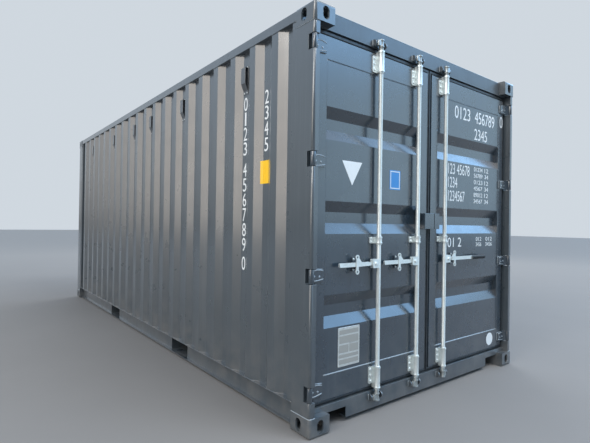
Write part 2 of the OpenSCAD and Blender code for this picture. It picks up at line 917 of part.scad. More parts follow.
// Left door's frame around the panel
module door_frame() {
    translate([-leaf_x_out, -half_l + door_set, door_z])
    difference() {
        cube([leaf_x_out - leaf_x_in, door_t, door_top - door_z]);
        translate([hinge_stile_w, -1, bottom_member_h])
            cube([panel_x_out - panel_x_in, door_t + 2, panel_top - panel_z]);
    }
}

module door_frame_left() { color(paint) door_frame(); }
module door_frame_right() { color(paint) mirror([1, 0, 0]) door_frame(); }

// Door panel: a sheet with three level grooves
module door_panel() {
    grooves = [for (i = [-1 : 1]) (panel_z + panel_top) / 2 + i * groove_pitch];
    half_flat = groove_flat / 2;
    front = concat(
        [[0, panel_z]],
        [for (z = grooves) for (p = [
            [0, z - half_flat - groove_slope],
            [groove_depth, z - half_flat],
            [groove_depth, z + half_flat],
            [0, z + half_flat + groove_slope]
        ]) p],
        [[0, panel_top]]
    );
    back = [for (p = front) [p[0] + panel_t, p[1]]];
    translate([-panel_x_out, -half_l + door_set + panel_set, 0])
        rotate([90, 0, 90]) linear_extrude(panel_x_out - panel_x_in)
            polygon(concat(front, reversed(back)));
}

module door_panel_left() { color(paint) door_panel(); }
module door_panel_right() { color(paint) mirror([1, 0, 0]) door_panel(); }

// Rubber seal round a door's frame, clear of the doorway by gasket_gap
module door_gasket() {
    lip_out = post_x - gasket_gap;
    lip_in = gasket_gap;
    lip_low = sill_top + gasket_gap;
    lip_high = header_z - gasket_gap;
    translate([0, -half_l + door_set + gasket_set + gasket_depth, 0])
    rotate([90, 0, 0]) linear_extrude(gasket_depth)
    difference() {
        translate([-lip_out, lip_low]) square([lip_out - lip_in, lip_high - lip_low]);
        translate([-leaf_x_out, door_z]) square([leaf_x_out - leaf_x_in, door_top - door_z]);
    }
}

module door_gasket_left() { color(rubber) door_gasket(); }
module door_gasket_right() { color(rubber) mirror([1, 0, 0]) door_gasket(); }

// Bearing of a rod: a sleeve with a rim at each end, a web to the door and a bolted foot;
// seat is how far behind the door's frame the surface lies that carries it
module rod_bearing(x, z, h, plate_z, plate_h, plate_w, seat) {
    stand = door_set - rod_set + seat;
    plate_l = plate_w + 2 * sleeve_r + foot_edge;
    translate([x, rod_y, 0])
    difference() {
        union() {
            translate([0, 0, z]) cylinder(r = sleeve_r, h = h);
            for (rim_z = [z, z + h - sleeve_rim_h])
                translate([0, 0, rim_z]) cylinder(r = sleeve_r + sleeve_rim, h = sleeve_rim_h);
            translate([-saddle_w / 2, 0, z]) cube([saddle_w, stand, h]);
            translate([sleeve_r + foot_edge - plate_l / 2, stand, plate_z + plate_h / 2])
                rotate([90, 0, 0]) linear_extrude(foot_t) rounded_plate(plate_l, plate_h, foot_r);
        }
        translate([0, 0, z - 1]) cylinder(r = rod_r + run_gap, h = h + 2);
    }
}

// The three bearings of one rod
module rod_bearings(x) {
    top_z = door_top + bearing_over - bearing_h;
    rod_bearing(x, top_z, bearing_h, top_z, foot_h, foot_w, 0);
    rod_bearing(x, guide_z - guide_h / 2, guide_h, guide_z - guide_h / 2, guide_h, guide_foot_w, panel_set);
    rod_bearing(x, door_z - bearing_over, bearing_h, door_z - bearing_over + bearing_h - foot_h, foot_h, foot_w, 0);
}

module rod_brackets_left() {
    color(galvanised) {
        rod_bearings(-rod_x_out);
        rod_bearings(-rod_x_mid);
    }
}

module rod_brackets_right() { color(galvanised) rod_bearings(rod_x_mid); }

// Side view of a keeper's ear: a round nose on a straight root
module keeper_ear() {
    nose_r = keeper_h / 2;
    root = keeper_reach - nose_r;
    intersection() {
        union() {
            translate([-root, nose_r]) circle(nose_r);
            translate([-root, 0]) square([root + 1, keeper_h]);
        }
        translate([-keeper_reach, 0]) square([keeper_reach + 1, keeper_h]);
    }
}

// Cam keeper: a plate with two ears, one each side of the cam
module keeper(x, z, face) {
    translate([x - keeper_w / 2, -half_l + face - keeper_t, z - keeper_h / 2]) {
        cube([keeper_w, keeper_t, keeper_h]);
        for (s = [0, keeper_w - keeper_ear_t])
            translate([s, 0, 0]) rotate([90, 0, 90]) linear_extrude(keeper_ear_t) keeper_ear();
    }
}

module cam_keepers() {
    color(paint)
    for (x = [-rod_x_out, -rod_x_mid, rod_x_mid]) {
        keeper(x, sill_z + cam_on_sill, sill_set);
        keeper(x, header_z + cam_on_header, header_set);
    }
}

// Cam from its lower face: two rims with a finger between them that points along +X
module cam() {
    for (z = [0, cam_h - cam_rim_h]) translate([0, 0, z]) cylinder(r = cam_rim_r, h = cam_rim_h);
    translate([0, 0, cam_rim_h - 1]) linear_extrude(cam_h - 2 * cam_rim_h + 2) {
        translate([0, -cam_t / 2]) square([cam_reach - cam_t / 2, cam_t]);
        translate([cam_reach - cam_t / 2, 0]) circle(d = cam_t);
    }
}

// Clevis on a rod, towards +X: two plates and the headed pin on which a handle turns
module clevis() {
    gap = handle_t / 2 + play;
    for (y = [-gap, gap + clevis_t])
        translate([clevis_l / 2, y, 0]) rotate([90, 0, 0])
            linear_extrude(clevis_t) rounded_plate(clevis_l, clevis_h, clevis_r);
    translate([pivot_x, gap + clevis_t, 0]) rotate([90, 0, 0]) {
        cylinder(r = pivot_r, h = 2 * gap + 2 * clevis_t + pin_head_t);
        translate([0, 0, 2 * gap + 2 * clevis_t]) cylinder(r = pivot_r + pin_head_t, h = pin_head_t);
    }
}

// Locking rod with a cam at each end and the clevis of its handle; s points to the handle
module lock_rod(x, s) {
    translate([x, rod_y, 0]) {
        translate([0, 0, rod_z]) cylinder(r = rod_r, h = rod_top - rod_z);
        mirror([s < 0 ? 1 : 0, 0, 0]) {
            for (z = [rod_z, rod_top - cam_h]) translate([0, 0, z]) cam();
            translate([0, 0, handle_z]) clevis();
        }
    }
}

module lock_rod_outer() { color(galvanised) lock_rod(-rod_x_out, -1); }
module lock_rod_left() { color(galvanised) lock_rod(-rod_x_mid, -1); }
module lock_rod_right() { color(galvanised) lock_rod(rod_x_mid, 1); }

// Seal plate across a handle's bar: two eyes and a strap that runs back along the bar
module seal_plate() {
    difference() {
        union() {
            for (z = [-seal_half, seal_half]) translate([0, z]) circle(seal_r);
            translate([-seal_waist / 2, -seal_half]) square([seal_waist, 2 * seal_half]);
            polygon([
                [-seal_waist / 2, seal_half], [-seal_strap, handle_h / 2],
                [-seal_strap, -handle_h / 2], [0, -handle_h / 2], [0, seal_half]
            ]);
        }
        for (z = [-seal_half, seal_half]) translate([0, z]) circle(seal_hole_r);
    }
}

// Outline of a handle from its pivot towards +X: eye, neck, shoulder and bar
module handle_outline(bar_l) {
    circle(eye_r);
    translate([0, -neck_h / 2]) square([neck_l, neck_h]);
    bar_outline(bar_l);
}

module bar_outline(bar_l) {
    start = neck_l + shoulder;
    polygon([
        [neck_l, -neck_h / 2], [start, -handle_h / 2], [start + tip_r, -handle_h / 2],
        [start + tip_r, handle_h / 2], [start, handle_h / 2], [neck_l, neck_h / 2]
    ]);
    translate([(start + bar_l) / 2, 0]) rounded_plate(bar_l - start, handle_h, tip_r);
}

// Handle towards +X from its pivot, centred in depth; l is its reach and seal_x its seal plate's place,
// both from the rod's axis
module handle_body(l, seal_x, grip) {
    bar_l = l - pivot_x;
    rotate([90, 0, 0]) {
        difference() {
            translate([0, 0, -handle_t / 2]) linear_extrude(handle_t) handle_outline(bar_l);
            translate([0, 0, -handle_t]) cylinder(r = pivot_r + run_gap, h = 2 * handle_t);
        }
        translate([0, 0, -bar_t / 2]) linear_extrude(bar_t) bar_outline(bar_l);
        translate([seal_x - pivot_x, 0, seal_back]) linear_extrude(catch_t + 1) seal_plate();
        if (grip)
            translate([bar_l - grip_l / 2, 0, 0])
                rotate([0, 90, 0]) cylinder(r = handle_h / 2 + 2, h = grip_l, center = true);
    }
}

module handle(x, s, l, seal_x, grip) {
    translate([x + s * pivot_x, rod_y, handle_z]) mirror([s < 0 ? 1 : 0, 0, 0]) handle_body(l, seal_x, grip);
}

module handle_outer() { color(galvanised) handle(-rod_x_out, -1, handle_l, catch_x, false); }
module handle_left() { color(galvanised) handle(-rod_x_mid, -1, handle_l, catch_x, false); }
module handle_right() { color(galvanised) handle(rod_x_mid, 1, grip_handle_l, grip_catch_x, true); }

// Catch that a handle rests in: a plate on the door, a shelf below the bar and a gusset under it
module handle_catch(x) {
    shelf = door_set - rod_set + seal_back - catch_gap;
    shelf_z = -handle_h / 2 - catch_gap - catch_t;
    translate([x, -half_l + door_set, handle_z]) {
        translate([0, panel_set, 0]) rotate([90, 0, 0]) linear_extrude(catch_t + panel_set)
            rounded_plate(catch_w, 2 * seal_half, catch_r);
        translate([-catch_w / 2, -shelf, shelf_z]) cube([catch_w, shelf, catch_t]);
        translate([-catch_t / 2, 0, 0]) rotate([90, 0, 90]) linear_extrude(catch_t)
            polygon([[-shelf, shelf_z + 1], [0, shelf_z + 1], [0, -seal_half + catch_r]]);
    }
}

module handle_catches_left() {
    color(paint) {
        handle_catch(-rod_x_out - catch_x);
        handle_catch(-rod_x_mid - catch_x);
    }
}

module handle_catches_right() { color(paint) handle_catch(rod_x_mid + grip_catch_x); }

// Half of the lock box: a hood open towards the other half and below; w is its length along X
module lockbox_half(w) {
    depth = door_set - lockbox_set;
    translate([0, -half_l + lockbox_set, lockbox_z])
    difference() {
        cube([w, depth, lockbox_h]);
        translate([-1, lockbox_t, -1])
            cube([w - lockbox_t + 1, depth, lockbox_h - lockbox_t + 1]);
    }
}

module lockbox_left_half() {
    color(paint)
    mirror([1, 0, 0]) translate([lockbox_gap / 2, 0, 0]) lockbox_half(lockbox_left - lockbox_gap / 2);
}

module lockbox_right_half() {
    color(paint)
    translate([lockbox_gap / 2, 0, 0]) lockbox_half(lockbox_right - lockbox_gap / 2);
}

casting_door_left_bottom();
casting_door_right_bottom();
casting_door_left_top();
casting_door_right_top();
casting_end_left_bottom();
casting_end_right_bottom();
casting_end_left_top();
casting_end_right_top();
door_post_left();
door_post_right();
end_post_left();
end_post_right();
door_header();
door_sill();
end_top_rail();
end_bottom_rail();
top_rail_left();
top_rail_right();
bottom_rail_left();
bottom_rail_right();
side_wall_left();
side_wall_right();
end_wall();
roof_panel();
roof_end_plates();
floor_boards();
cross_members();
forklift_pockets();
ventilators_left();
ventilators_right();
hinge_pins_left();
hinge_pins_right();
cam_keepers();
door_frame_left();
door_frame_right();
door_panel_left();
door_panel_right();
door_gasket_left();
door_gasket_right();
hinge_blades_left();
hinge_blades_right();
rod_brackets_left();
rod_brackets_right();
handle_catches_left();
handle_catches_right();
lockbox_left_half();
lockbox_right_half();
lock_rod_outer();
lock_rod_left();
lock_rod_right();
handle_outer();
handle_left();
handle_right();
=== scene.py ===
"""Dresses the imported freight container: paint, plating, bolts, welds, rivets, plates and digits."""

import json
import math
import random
from collections import Counter

import bmesh
import bpy
from mathutils import Matrix, Vector


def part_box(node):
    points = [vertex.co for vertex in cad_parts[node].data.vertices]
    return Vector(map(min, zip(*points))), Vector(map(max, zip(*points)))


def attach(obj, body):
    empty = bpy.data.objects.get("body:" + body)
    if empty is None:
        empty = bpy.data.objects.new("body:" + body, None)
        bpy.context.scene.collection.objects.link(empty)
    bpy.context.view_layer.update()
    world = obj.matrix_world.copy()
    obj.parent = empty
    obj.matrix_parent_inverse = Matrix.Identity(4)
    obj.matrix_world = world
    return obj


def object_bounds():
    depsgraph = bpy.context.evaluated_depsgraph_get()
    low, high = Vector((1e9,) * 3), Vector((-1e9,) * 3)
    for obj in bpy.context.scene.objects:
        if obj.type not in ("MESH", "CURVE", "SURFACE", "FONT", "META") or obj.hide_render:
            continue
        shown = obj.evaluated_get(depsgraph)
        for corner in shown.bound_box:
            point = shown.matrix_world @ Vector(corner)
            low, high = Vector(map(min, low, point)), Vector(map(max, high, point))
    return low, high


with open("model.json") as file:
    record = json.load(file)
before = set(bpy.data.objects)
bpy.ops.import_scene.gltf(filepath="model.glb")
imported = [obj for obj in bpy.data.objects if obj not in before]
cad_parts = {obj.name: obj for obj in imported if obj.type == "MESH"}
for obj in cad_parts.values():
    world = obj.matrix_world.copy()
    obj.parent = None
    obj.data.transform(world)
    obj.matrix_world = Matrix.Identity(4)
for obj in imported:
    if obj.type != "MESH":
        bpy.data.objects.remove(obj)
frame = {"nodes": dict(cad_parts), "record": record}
CAD_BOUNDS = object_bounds()

bl_info = {
    "name": "Freight container dressing",
    "version": (1, 0, 0),
    "blender": (4, 5, 0),
    "location": "3D View > Sidebar > Container",
    "description": "Paint, hardware and marks for a twenty foot freight container",
    "category": "Object",
}

# Corners of pieces as the frame gives them, in metres
BOX_LOW, BOX_HIGH = (Vector(corner) for corner in CAD_BOUNDS)
DOOR_LOW, DOOR_HIGH = (Vector(corner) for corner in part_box("door_frame_left"))
PANEL_LOW, PANEL_HIGH = (Vector(corner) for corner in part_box("door_panel_left"))
WALL_LOW, WALL_HIGH = (Vector(corner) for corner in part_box("side_wall_left"))
FLOOR_LOW, FLOOR_HIGH = (Vector(corner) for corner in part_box("floor_boards"))

# Front faces of the door panels and of the door frames
PANEL_Y = PANEL_LOW.y
FACE_Y = DOOR_LOW.y

# Directions; forward is from the closed end to the doors
FORWARD = (0, -1, 0)
INWARD = (0, 1, 0)
RIGHT = (1, 0, 0)
UP = (0, 0, 1)

# Waves of a side wall, and the plain strip at each of its ends with the length of that strip's slope
WAVE_DEPTH = 0.036
WAVE_CREST = 0.072
WAVE_SLOPE = 0.067
WAVE_PITCH = 0.2755
WAVE_COUNT = 20
END_STRIP = 0.049
END_SLOPE = 0.004
VALLEY_X = WALL_LOW.x + WAVE_DEPTH

# Ventilators: their valleys counted from the middle of the wall, their depth in the box, and their rivets
VENT_VALLEYS = (1, 4, 8)
VENT_DEPTH = 0.041
VENT_RIVET_Y = (-0.019, 0.019)
VENT_RIVET_Z = (2.2245, 2.4135)

# Level grooves of the door panels
GROOVE_Z = (0.7215, 1.3085, 1.8955)
GROOVE_HALF_FLAT = 0.035
GROOVE_SLOPE = 0.068
GROOVE_DEPTH = 0.036

# Hinge blades: heights and thickness, then dots, ribs and toe as (X, distance from the hinge's height)
HINGE_Z = [0.256 + 0.698 * i for i in range(4)]
BLADE = 0.012
HINGE_DOTS = ((1.152, -0.005), (1.112, -0.008))
HINGE_DOT_PROFILE = ((0.0078, -0.001), (0.0074, 0.0012), (0.0052, 0.0026), (0.0020, 0.0030))
HINGE_RIBS = (((1.160, 0.025), (1.146, 0.031), (1.130, 0.0335), (1.104, 0.0315), (1.079, 0.026)),
              ((1.160, -0.033), (1.136, -0.032), (1.108, -0.028), (1.079, -0.023)))
HINGE_TOE = ((1.150, -0.040), (1.0735, -0.0345), (1.0735, 0.0345), (1.150, 0.040))

# Locking rods: name, place in X and the door that carries the rod
RODS = (("outer", -0.598, "door_left"), ("left", -0.173, "door_left"), ("right", 0.173, "door_right"))
ROD_Y = BOX_LOW.y + 0.030
BEARING_Z = (2.355, 0.253)
GUIDE_Z = 1.163
HANDLE_Z = 1.008

# Fasteners beside a rod: distance from the rod, heights from the middle of the fitting, and size
BEARING_PLATE = 0.007
BEARING_BOLT_X = -0.039
BEARING_BOLT_Z = (-0.038, 0.0, 0.038)
BEARING_RIVET_X = 0.0262
BEARING_RIVET_Z = (-0.036, 0.036)
BEARING_RIVET = 0.0036
GUIDE_BOLT_X = -0.042
GUIDE_BOLT_Z = (-0.011, 0.011)
GUIDE_BOLT = 0.0125
CATCH_PLATE = 0.006
CATCH_BOLT_X = {"outer": -0.215, "left": -0.215, "right": 0.132}
CATCH_BOLT_Z = (-0.034, 0.034)
CATCH_BOLT = 0.011
THIN_HEAD = 0.005

# Collars on the rods at the bearings and guides, and the nut on each handle pin
COLLAR_Z = (2.4405, 2.2915, 0.1615, 0.3105, 1.1865, 1.1335)
COLLAR_INNER = 0.0148
COLLAR_OUTER = 0.0205
COLLAR_RISE = 0.006
PIN_X = 0.040
PIN_FRONT = 0.019
PIN_NUT = 0.016
PIN_NUT_RISE = 0.004

# Keepers: height of the middle and depth behind the door end, then half the width and half the bead
KEEPERS = ((0.110, 0.054), (2.493, 0.058))
KEEPER_HALF = 0.0565
KEEPER_BEAD = 0.021

# Corner posts behind the planes of the box, their rounding, and the beads between post and casting
POST_SET_X = 0.004
POST_SET_Y = 0.006
POST_ROUNDING = 0.016
CASTING_BEAD_Z = 0.1185
CASTING_BEAD_END = 0.045
CASTING_BEAD_SIDE = 0.172

# Grip on the long handle: reach of its tip from the rod, length, radius and ribs
GRIP_TIP = 0.593
GRIP_LENGTH = 0.200
GRIP_RADIUS = 0.0162
GRIP_RIBS = 22
GRIP_RIB_RISE = 0.0012

# Door seals: how far the lip reaches over the door's top, and the strip inside the door's edge
SEAL_HEAD = 1.46
STRIP_OUTER = -0.010
STRIP_INNER = -0.032
STRIP_MIDDLE = 0.021
STRIP_RISE = 0.0025

# Seeds for the ripples of the weld beads
SEEDS = {"wall_foot": 11, "wall_head": 31, "wall_ends": 51, "casting": 61, "panel": 71, "panel_sides": 91,
         "hinge": 7, "keeper": 5}

# Camera: place in metres and turn in radians
CAMERA_PLACE = (-2.86157, -4.96451, 1.26563)
CAMERA_YAW = 0.664805
CAMERA_PITCH = 0.0052319
CAMERA_ROLL = 0.014909

# Soft lights: name, place, the point that it faces, width, depth, power and tone
LIGHTS = (
    ("key", (-9.0, -6.0, 8.0), (0.0, -1.0, 1.0), 7.0, 5.0, 650.0, (1.0, 0.98, 0.95)),
    ("fill", (2.5, -9.5, 14.0), (2.5, -7.0, 0.0), 6.0, 6.0, 1300.0, (0.92, 0.96, 1.0)),
    ("rim", (9.0, 8.0, 8.0), (0.0, 0.0, 1.2), 6.0, 5.0, 500.0, (0.97, 0.98, 1.0)),
)

# Tones of the sky dome, from straight down at 0 over the horizon at 0.5 to straight up at 1
SKY_STOPS = ((0.0, (0.16, 0.16, 0.16)), (0.495, (0.20, 0.20, 0.20)), (0.515, (0.42, 0.44, 0.46)),
             (0.58, (0.58, 0.64, 0.70)), (0.72, (0.70, 0.84, 1.02)), (1.0, (0.75, 0.90, 1.10)))
SKY_SEEN = (0.66, 0.72, 0.78, 1.0)
SKY_SEEN_STRENGTH = 0.95
STUDIO_REACH = 60.0


class ContainerColours(bpy.types.PropertyGroup):
    """Colours of the paint, the plating and the marks"""

    box_paint: bpy.props.FloatVectorProperty(
        name="Box paint", description="Paint of the walls, posts and rails",
        subtype="COLOR", size=3, min=0.0, max=1.0, default=(0.042, 0.056, 0.068))
    door_paint: bpy.props.FloatVectorProperty(
        name="Door paint", description="Paint of the doors and their hinges",
        subtype="COLOR", size=3, min=0.0, max=1.0, default=(0.021, 0.035, 0.050))
    vent_paint: bpy.props.FloatVectorProperty(
        name="Ventilators", description="Colour of the ventilator hoods",
        subtype="COLOR", size=3, min=0.0, max=1.0, default=(0.040, 0.048, 0.056))
    zinc: bpy.props.FloatVectorProperty(
        name="Zinc", description="Colour of the galvanised gear",
        subtype="COLOR", size=3, min=0.0, max=1.0, default=(0.70, 0.76, 0.76))
    rubber: bpy.props.FloatVectorProperty(
        name="Rubber", description="Colour of the door seals and the grip",
        subtype="COLOR", size=3, min=0.0, max=1.0, default=(0.009, 0.013, 0.017))
    # Pale paint of the weld beads on castings, hinges and keepers: a painted highlight along their edges
    # rather than worn paint
    weld_highlight: bpy.props.FloatVectorProperty(
        name="Weld edges", description="Pale worn paint on the weld edges of castings, hinges and keepers",
        subtype="COLOR", size=3, min=0.0, max=1.0, default=(0.23, 0.27, 0.30))
    plywood: bpy.props.FloatVectorProperty(
        name="Plywood", description="Colour of the floor boards",
        subtype="COLOR", size=3, min=0.0, max=1.0, default=(0.22, 0.115, 0.055))
    mark_white: bpy.props.FloatVectorProperty(
        name="White marks", description="Colour of the stencilled digits and the white patches",
        subtype="COLOR", size=3, min=0.0, max=1.0, default=(0.72, 0.75, 0.76))
    mark_blue: bpy.props.FloatVectorProperty(
        name="Blue patch", description="Colour of the blue patch",
        subtype="COLOR", size=3, min=0.0, max=1.0, default=(0.03, 0.22, 0.55))
    mark_yellow: bpy.props.FloatVectorProperty(
        name="Yellow patch", description="Colour of the yellow patch on the side",
        subtype="COLOR", size=3, min=0.0, max=1.0, default=(0.85, 0.50, 0.01))
    floor: bpy.props.FloatVectorProperty(
        name="Studio floor", description="Colour of the studio floor",
        subtype="COLOR", size=3, min=0.0, max=1.0, default=(0.215, 0.205, 0.195))


class ContainerSizes(bpy.types.PropertyGroup):
    """Sizes of the fasteners, welds and marks"""

    bolt_flats: bpy.props.FloatProperty(
        name="Bolt", description="Width across flats of a bearing bolt", unit="LENGTH",
        default=0.015, min=0.010, max=0.024)
    bolt_height: bpy.props.FloatProperty(
        name="Bolt height", description="Height of a bearing bolt's head", unit="LENGTH",
        default=0.007, min=0.003, max=0.012)
    rivet_radius: bpy.props.FloatProperty(
        name="Rivet", description="Radius of a rivet head", unit="LENGTH",
        default=0.0045, min=0.002, max=0.008)
    weld_radius: bpy.props.FloatProperty(
        name="Weld", description="Radius of the weld beads round the side walls", unit="LENGTH",
        default=0.0035, min=0.001, max=0.006)
    edge_rounding: bpy.props.FloatProperty(
        name="Edge rounding", description="Rounding of the steel edges", unit="LENGTH",
        default=0.0016, min=0.0004, max=0.004)
    mark_lift: bpy.props.FloatProperty(
        name="Mark thickness", description="Thickness of patches and digits", unit="LENGTH",
        default=0.0006, min=0.0002, max=0.002)
    lens: bpy.props.FloatProperty(
        name="Lens", description="Focal length of the camera on a 36 mm sensor", unit="CAMERA",
        default=26.55, min=15.0, max=80.0)


def colour(name):
    """One of the user's colours, with alpha"""
    return (*getattr(bpy.context.scene.container_colours, name), 1.0)


def size(name):
    """One of the user's sizes"""
    return getattr(bpy.context.scene.container_sizes, name)


def shaded(tone, factor, lift=0.0):
    """A colour made darker or lighter, with alpha"""
    return (*(min(1.0, c * factor + lift) for c in tone[:3]), 1.0)


class Nodes:
    """Adds and links the nodes of a material or of the world"""

    def __init__(self, tree):
        self.tree = tree

    def add(self, kind, **values):
        """A new node with some of its settings"""
        node = self.tree.nodes.new(kind)
        for key, value in values.items():
            setattr(node, key, value)
        return node

    def link(self, output, target):
        """Joins an output to an input"""
        self.tree.links.new(output, target)

    def feed(self, value, target):
        """Gives an input a number, a colour or another node's output"""
        if isinstance(value, (int, float, tuple)):
            target.default_value = value
        else:
            self.link(value, target)

    def part(self, vector, axis):
        """X, Y or Z of a vector"""
        node = self.add("ShaderNodeSeparateXYZ")
        self.link(vector, node.inputs[0])
        return node.outputs[axis]

    def band(self, value, low, high, low_out=0.0, high_out=1.0):
        """Spreads the range from low to high over another one, and holds the ends outside it"""
        node = self.add("ShaderNodeMapRange")
        limits = {"From Min": low, "From Max": high, "To Min": low_out, "To Max": high_out}
        for key, number in limits.items():
            node.inputs[key].default_value = number
        self.link(value, node.inputs["Value"])
        return node.outputs["Result"]

    def maths(self, operation, a, b):
        """Sum or product of two values"""
        node = self.add("ShaderNodeMath", operation=operation)
        self.feed(a, node.inputs[0])
        self.feed(b, node.inputs[1])
        return node.outputs["Value"]

    def blend(self, factor, a, b, kind="MIX"):
        """Colour a where the factor is 0, and b, or the product of both, where it is 1"""
        node = self.add("ShaderNodeMix", data_type="RGBA", blend_type=kind)
        for target, value in ((node.inputs[0], factor), (node.inputs[6], a), (node.inputs[7], b)):
            self.feed(value, target)
        return node.outputs[2]


class Shader(Nodes):
    """A material under construction, laid out by the place on the object"""

    def __init__(self, name):
        self.material = bpy.data.materials.new(name)
        self.material.use_nodes = True
        super().__init__(self.material.node_tree)
        self.shader = self.tree.nodes["Principled BSDF"]
        self.place = self.add("ShaderNodeTexCoord").outputs["Object"]

    def set(self, **values):
        """Constant values on the shader's own sockets"""
        for key, value in values.items():
            self.shader.inputs[key.replace("_", " ")].default_value = value

    def stretched(self, scale):
        """The place, scaled along each axis"""
        node = self.add("ShaderNodeMapping")
        node.inputs["Scale"].default_value = scale
        self.link(self.place, node.inputs["Vector"])
        return node.outputs["Vector"]

    def noise(self, scale, detail=3.0, rough=0.55, stretch=(1.0, 1.0, 1.0)):
        """Cloudy pattern"""
        node = self.add("ShaderNodeTexNoise")
        node.inputs["Scale"].default_value = scale
        node.inputs["Detail"].default_value = detail
        node.inputs["Roughness"].default_value = rough
        self.link(self.stretched(stretch), node.inputs["Vector"])
        return node.outputs["Fac"]

    def cells(self, scale):
        """Cells with a tone each"""
        node = self.add("ShaderNodeTexVoronoi", feature="F1")
        node.inputs["Scale"].default_value = scale
        self.link(self.stretched((1.0, 1.0, 1.0)), node.inputs["Vector"])
        return node.outputs["Color"]

    def height(self):
        """Height over the ground"""
        return self.part(self.place, "Z")

    def distance(self):
        """Distance from the origin"""
        node = self.add("ShaderNodeVectorMath", operation="LENGTH")
        self.link(self.place, node.inputs[0])
        return node.outputs["Value"]

    def bump(self, value, strength, distance):
        """Small relief"""
        node = self.add("ShaderNodeBump")
        node.inputs["Strength"].default_value = strength
        node.inputs["Distance"].default_value = distance
        self.link(value, node.inputs["Height"])
        self.link(node.outputs["Normal"], self.shader.inputs["Normal"])

    def base(self, output):
        """Base colour"""
        self.link(output, self.shader.inputs["Base Color"])

    def rough(self, output):
        """Roughness"""
        self.link(output, self.shader.inputs["Roughness"])


def steel_paint(name, tone, gloss=0.30, dust=0.35, coat=1.0):
    """Sprayed paint on steel: mottling, rain streaks, dust near the ground, rubs and orange peel"""
    dust_tone = (0.20, 0.19, 0.175, 1.0)
    rubbed_tone = (0.20, 0.23, 0.25, 1.0)
    s = Shader(name)
    mottle = s.band(s.noise(2.2, 4.0), 0.30, 0.72)
    shade = s.blend(mottle, shaded(tone, 0.90), shaded(tone, 1.10))
    streaks = s.band(s.noise(1.0, 4.0, 0.6, (26.0, 26.0, 0.9)), 0.56, 0.78, 0.0, 0.28)
    streaked = s.blend(streaks, shade, shaded(tone, 1.7, 0.02))
    near_ground = s.band(s.height(), 0.02, 0.55, dust, 0.0)
    low = s.maths("MULTIPLY", near_ground, s.band(s.noise(9.0, 5.0), 0.35, 0.70))
    dusty = s.blend(low, streaked, dust_tone)
    rubs = s.band(s.noise(22.0, 6.0, 0.7, (1.0, 1.0, 7.0)), 0.66, 0.74)
    worn = s.maths("MULTIPLY", rubs, s.band(s.noise(2.6, 2.0), 0.56, 0.70, 0.0, 0.22))
    s.base(s.blend(worn, dusty, rubbed_tone))
    gloss_map = s.band(s.noise(6.0, 4.0), 0.3, 0.75, gloss - 0.05, gloss + 0.10)
    s.rough(s.maths("ADD", gloss_map, s.maths("MULTIPLY", low, 0.5)))
    s.set(Coat_Weight=coat, Coat_Roughness=0.17, IOR=1.55)
    s.bump(s.maths("ADD", s.noise(420.0, 2.0), s.noise(14.0, 2.0)), 0.035, 0.001)
    return s.material


def zinc_plating(name, tone):
    """Hot dip galvanised steel: spangle, dull patches, a few stains, and the cams at the rod ends darkened
    as painted keeper shade with dirt
    """
    patch_tone = (0.50, 0.54, 0.535, 1.0)
    stain_tone = (0.26, 0.25, 0.23, 1.0)
    # Dark tone for the cams: painted shade of the keepers over them, together with dirt
    cam_shade_and_dirt_tone = (0.12, 0.14, 0.15, 1.0)
    s = Shader(name)
    spangle = s.band(s.cells(150.0), 0.0, 1.0)
    bright = s.blend(spangle, shaded(tone, 0.93), shaded(tone, 1.07))
    dull = s.band(s.noise(14.0, 5.0), 0.46, 0.76, 0.0, 0.40)
    patchy = s.blend(dull, bright, patch_tone)
    stain = s.band(s.noise(5.5, 6.0, 0.65, (3.0, 3.0, 0.8)), 0.64, 0.78, 0.0, 0.40)
    stained = s.blend(stain, patchy, stain_tone)
    # Painted shade with dirt: the cams at both rod ends are darkened by height
    low_cam_shade_and_dirt = s.band(s.height(), 0.165, 0.150, 0.0, 0.62)
    high_cam_shade_and_dirt = s.band(s.height(), 2.440, 2.455, 0.0, 0.62)
    s.base(s.blend(s.maths("ADD", low_cam_shade_and_dirt, high_cam_shade_and_dirt), stained, cam_shade_and_dirt_tone))
    s.rough(s.maths("ADD", s.band(spangle, 0.0, 1.0, 0.32, 0.40), s.maths("MULTIPLY", dull, 0.25)))
    s.set(Metallic=0.60)
    s.bump(s.maths("ADD", s.noise(160.0, 3.0), s.noise(30.0, 2.0)), 0.16, 0.0012)
    return s.material


def moulded_rubber(name, tone):
    """Black rubber with a dusty bloom"""
    bloom_tone = (0.026, 0.031, 0.035, 1.0)
    s = Shader(name)
    s.base(s.blend(s.band(s.noise(18.0, 5.0), 0.40, 0.75), tone, bloom_tone))
    s.rough(s.band(s.noise(40.0, 3.0), 0.3, 0.7, 0.34, 0.50))
    s.bump(s.noise(500.0, 2.0), 0.15, 0.0006)
    return s.material


def plywood_boards(name, tone):
    """Oiled plywood: long grain and paler worn patches"""
    worn_tone = (0.30, 0.24, 0.18, 1.0)
    s = Shader(name)
    grain = s.band(s.noise(9.0, 6.0, 0.6, (9.0, 0.5, 1.0)), 0.30, 0.75)
    wood = s.blend(grain, shaded(tone, 0.60), shaded(tone, 1.35))
    worn = s.band(s.noise(1.6, 5.0, 0.6, (1.0, 0.4, 1.0)), 0.48, 0.74, 0.0, 0.5)
    s.base(s.blend(worn, wood, worn_tone))
    s.rough(s.band(worn, 0.0, 0.5, 0.42, 0.68))
    s.bump(grain, 0.2, 0.001)
    return s.material


def thin_mark(name, tone, wear=0.35):
    """Foil or stencil paint, scuffed a little"""
    s = Shader(name)
    scuffed = s.band(s.noise(90.0, 5.0, 0.65), 0.60, 0.74, 0.0, wear)
    s.base(s.blend(scuffed, tone, shaded(tone, 0.45)))
    s.rough(s.band(s.noise(50.0, 3.0), 0.3, 0.7, 0.30, 0.48))
    s.bump(s.noise(300.0, 2.0), 0.06, 0.0005)
    return s.material


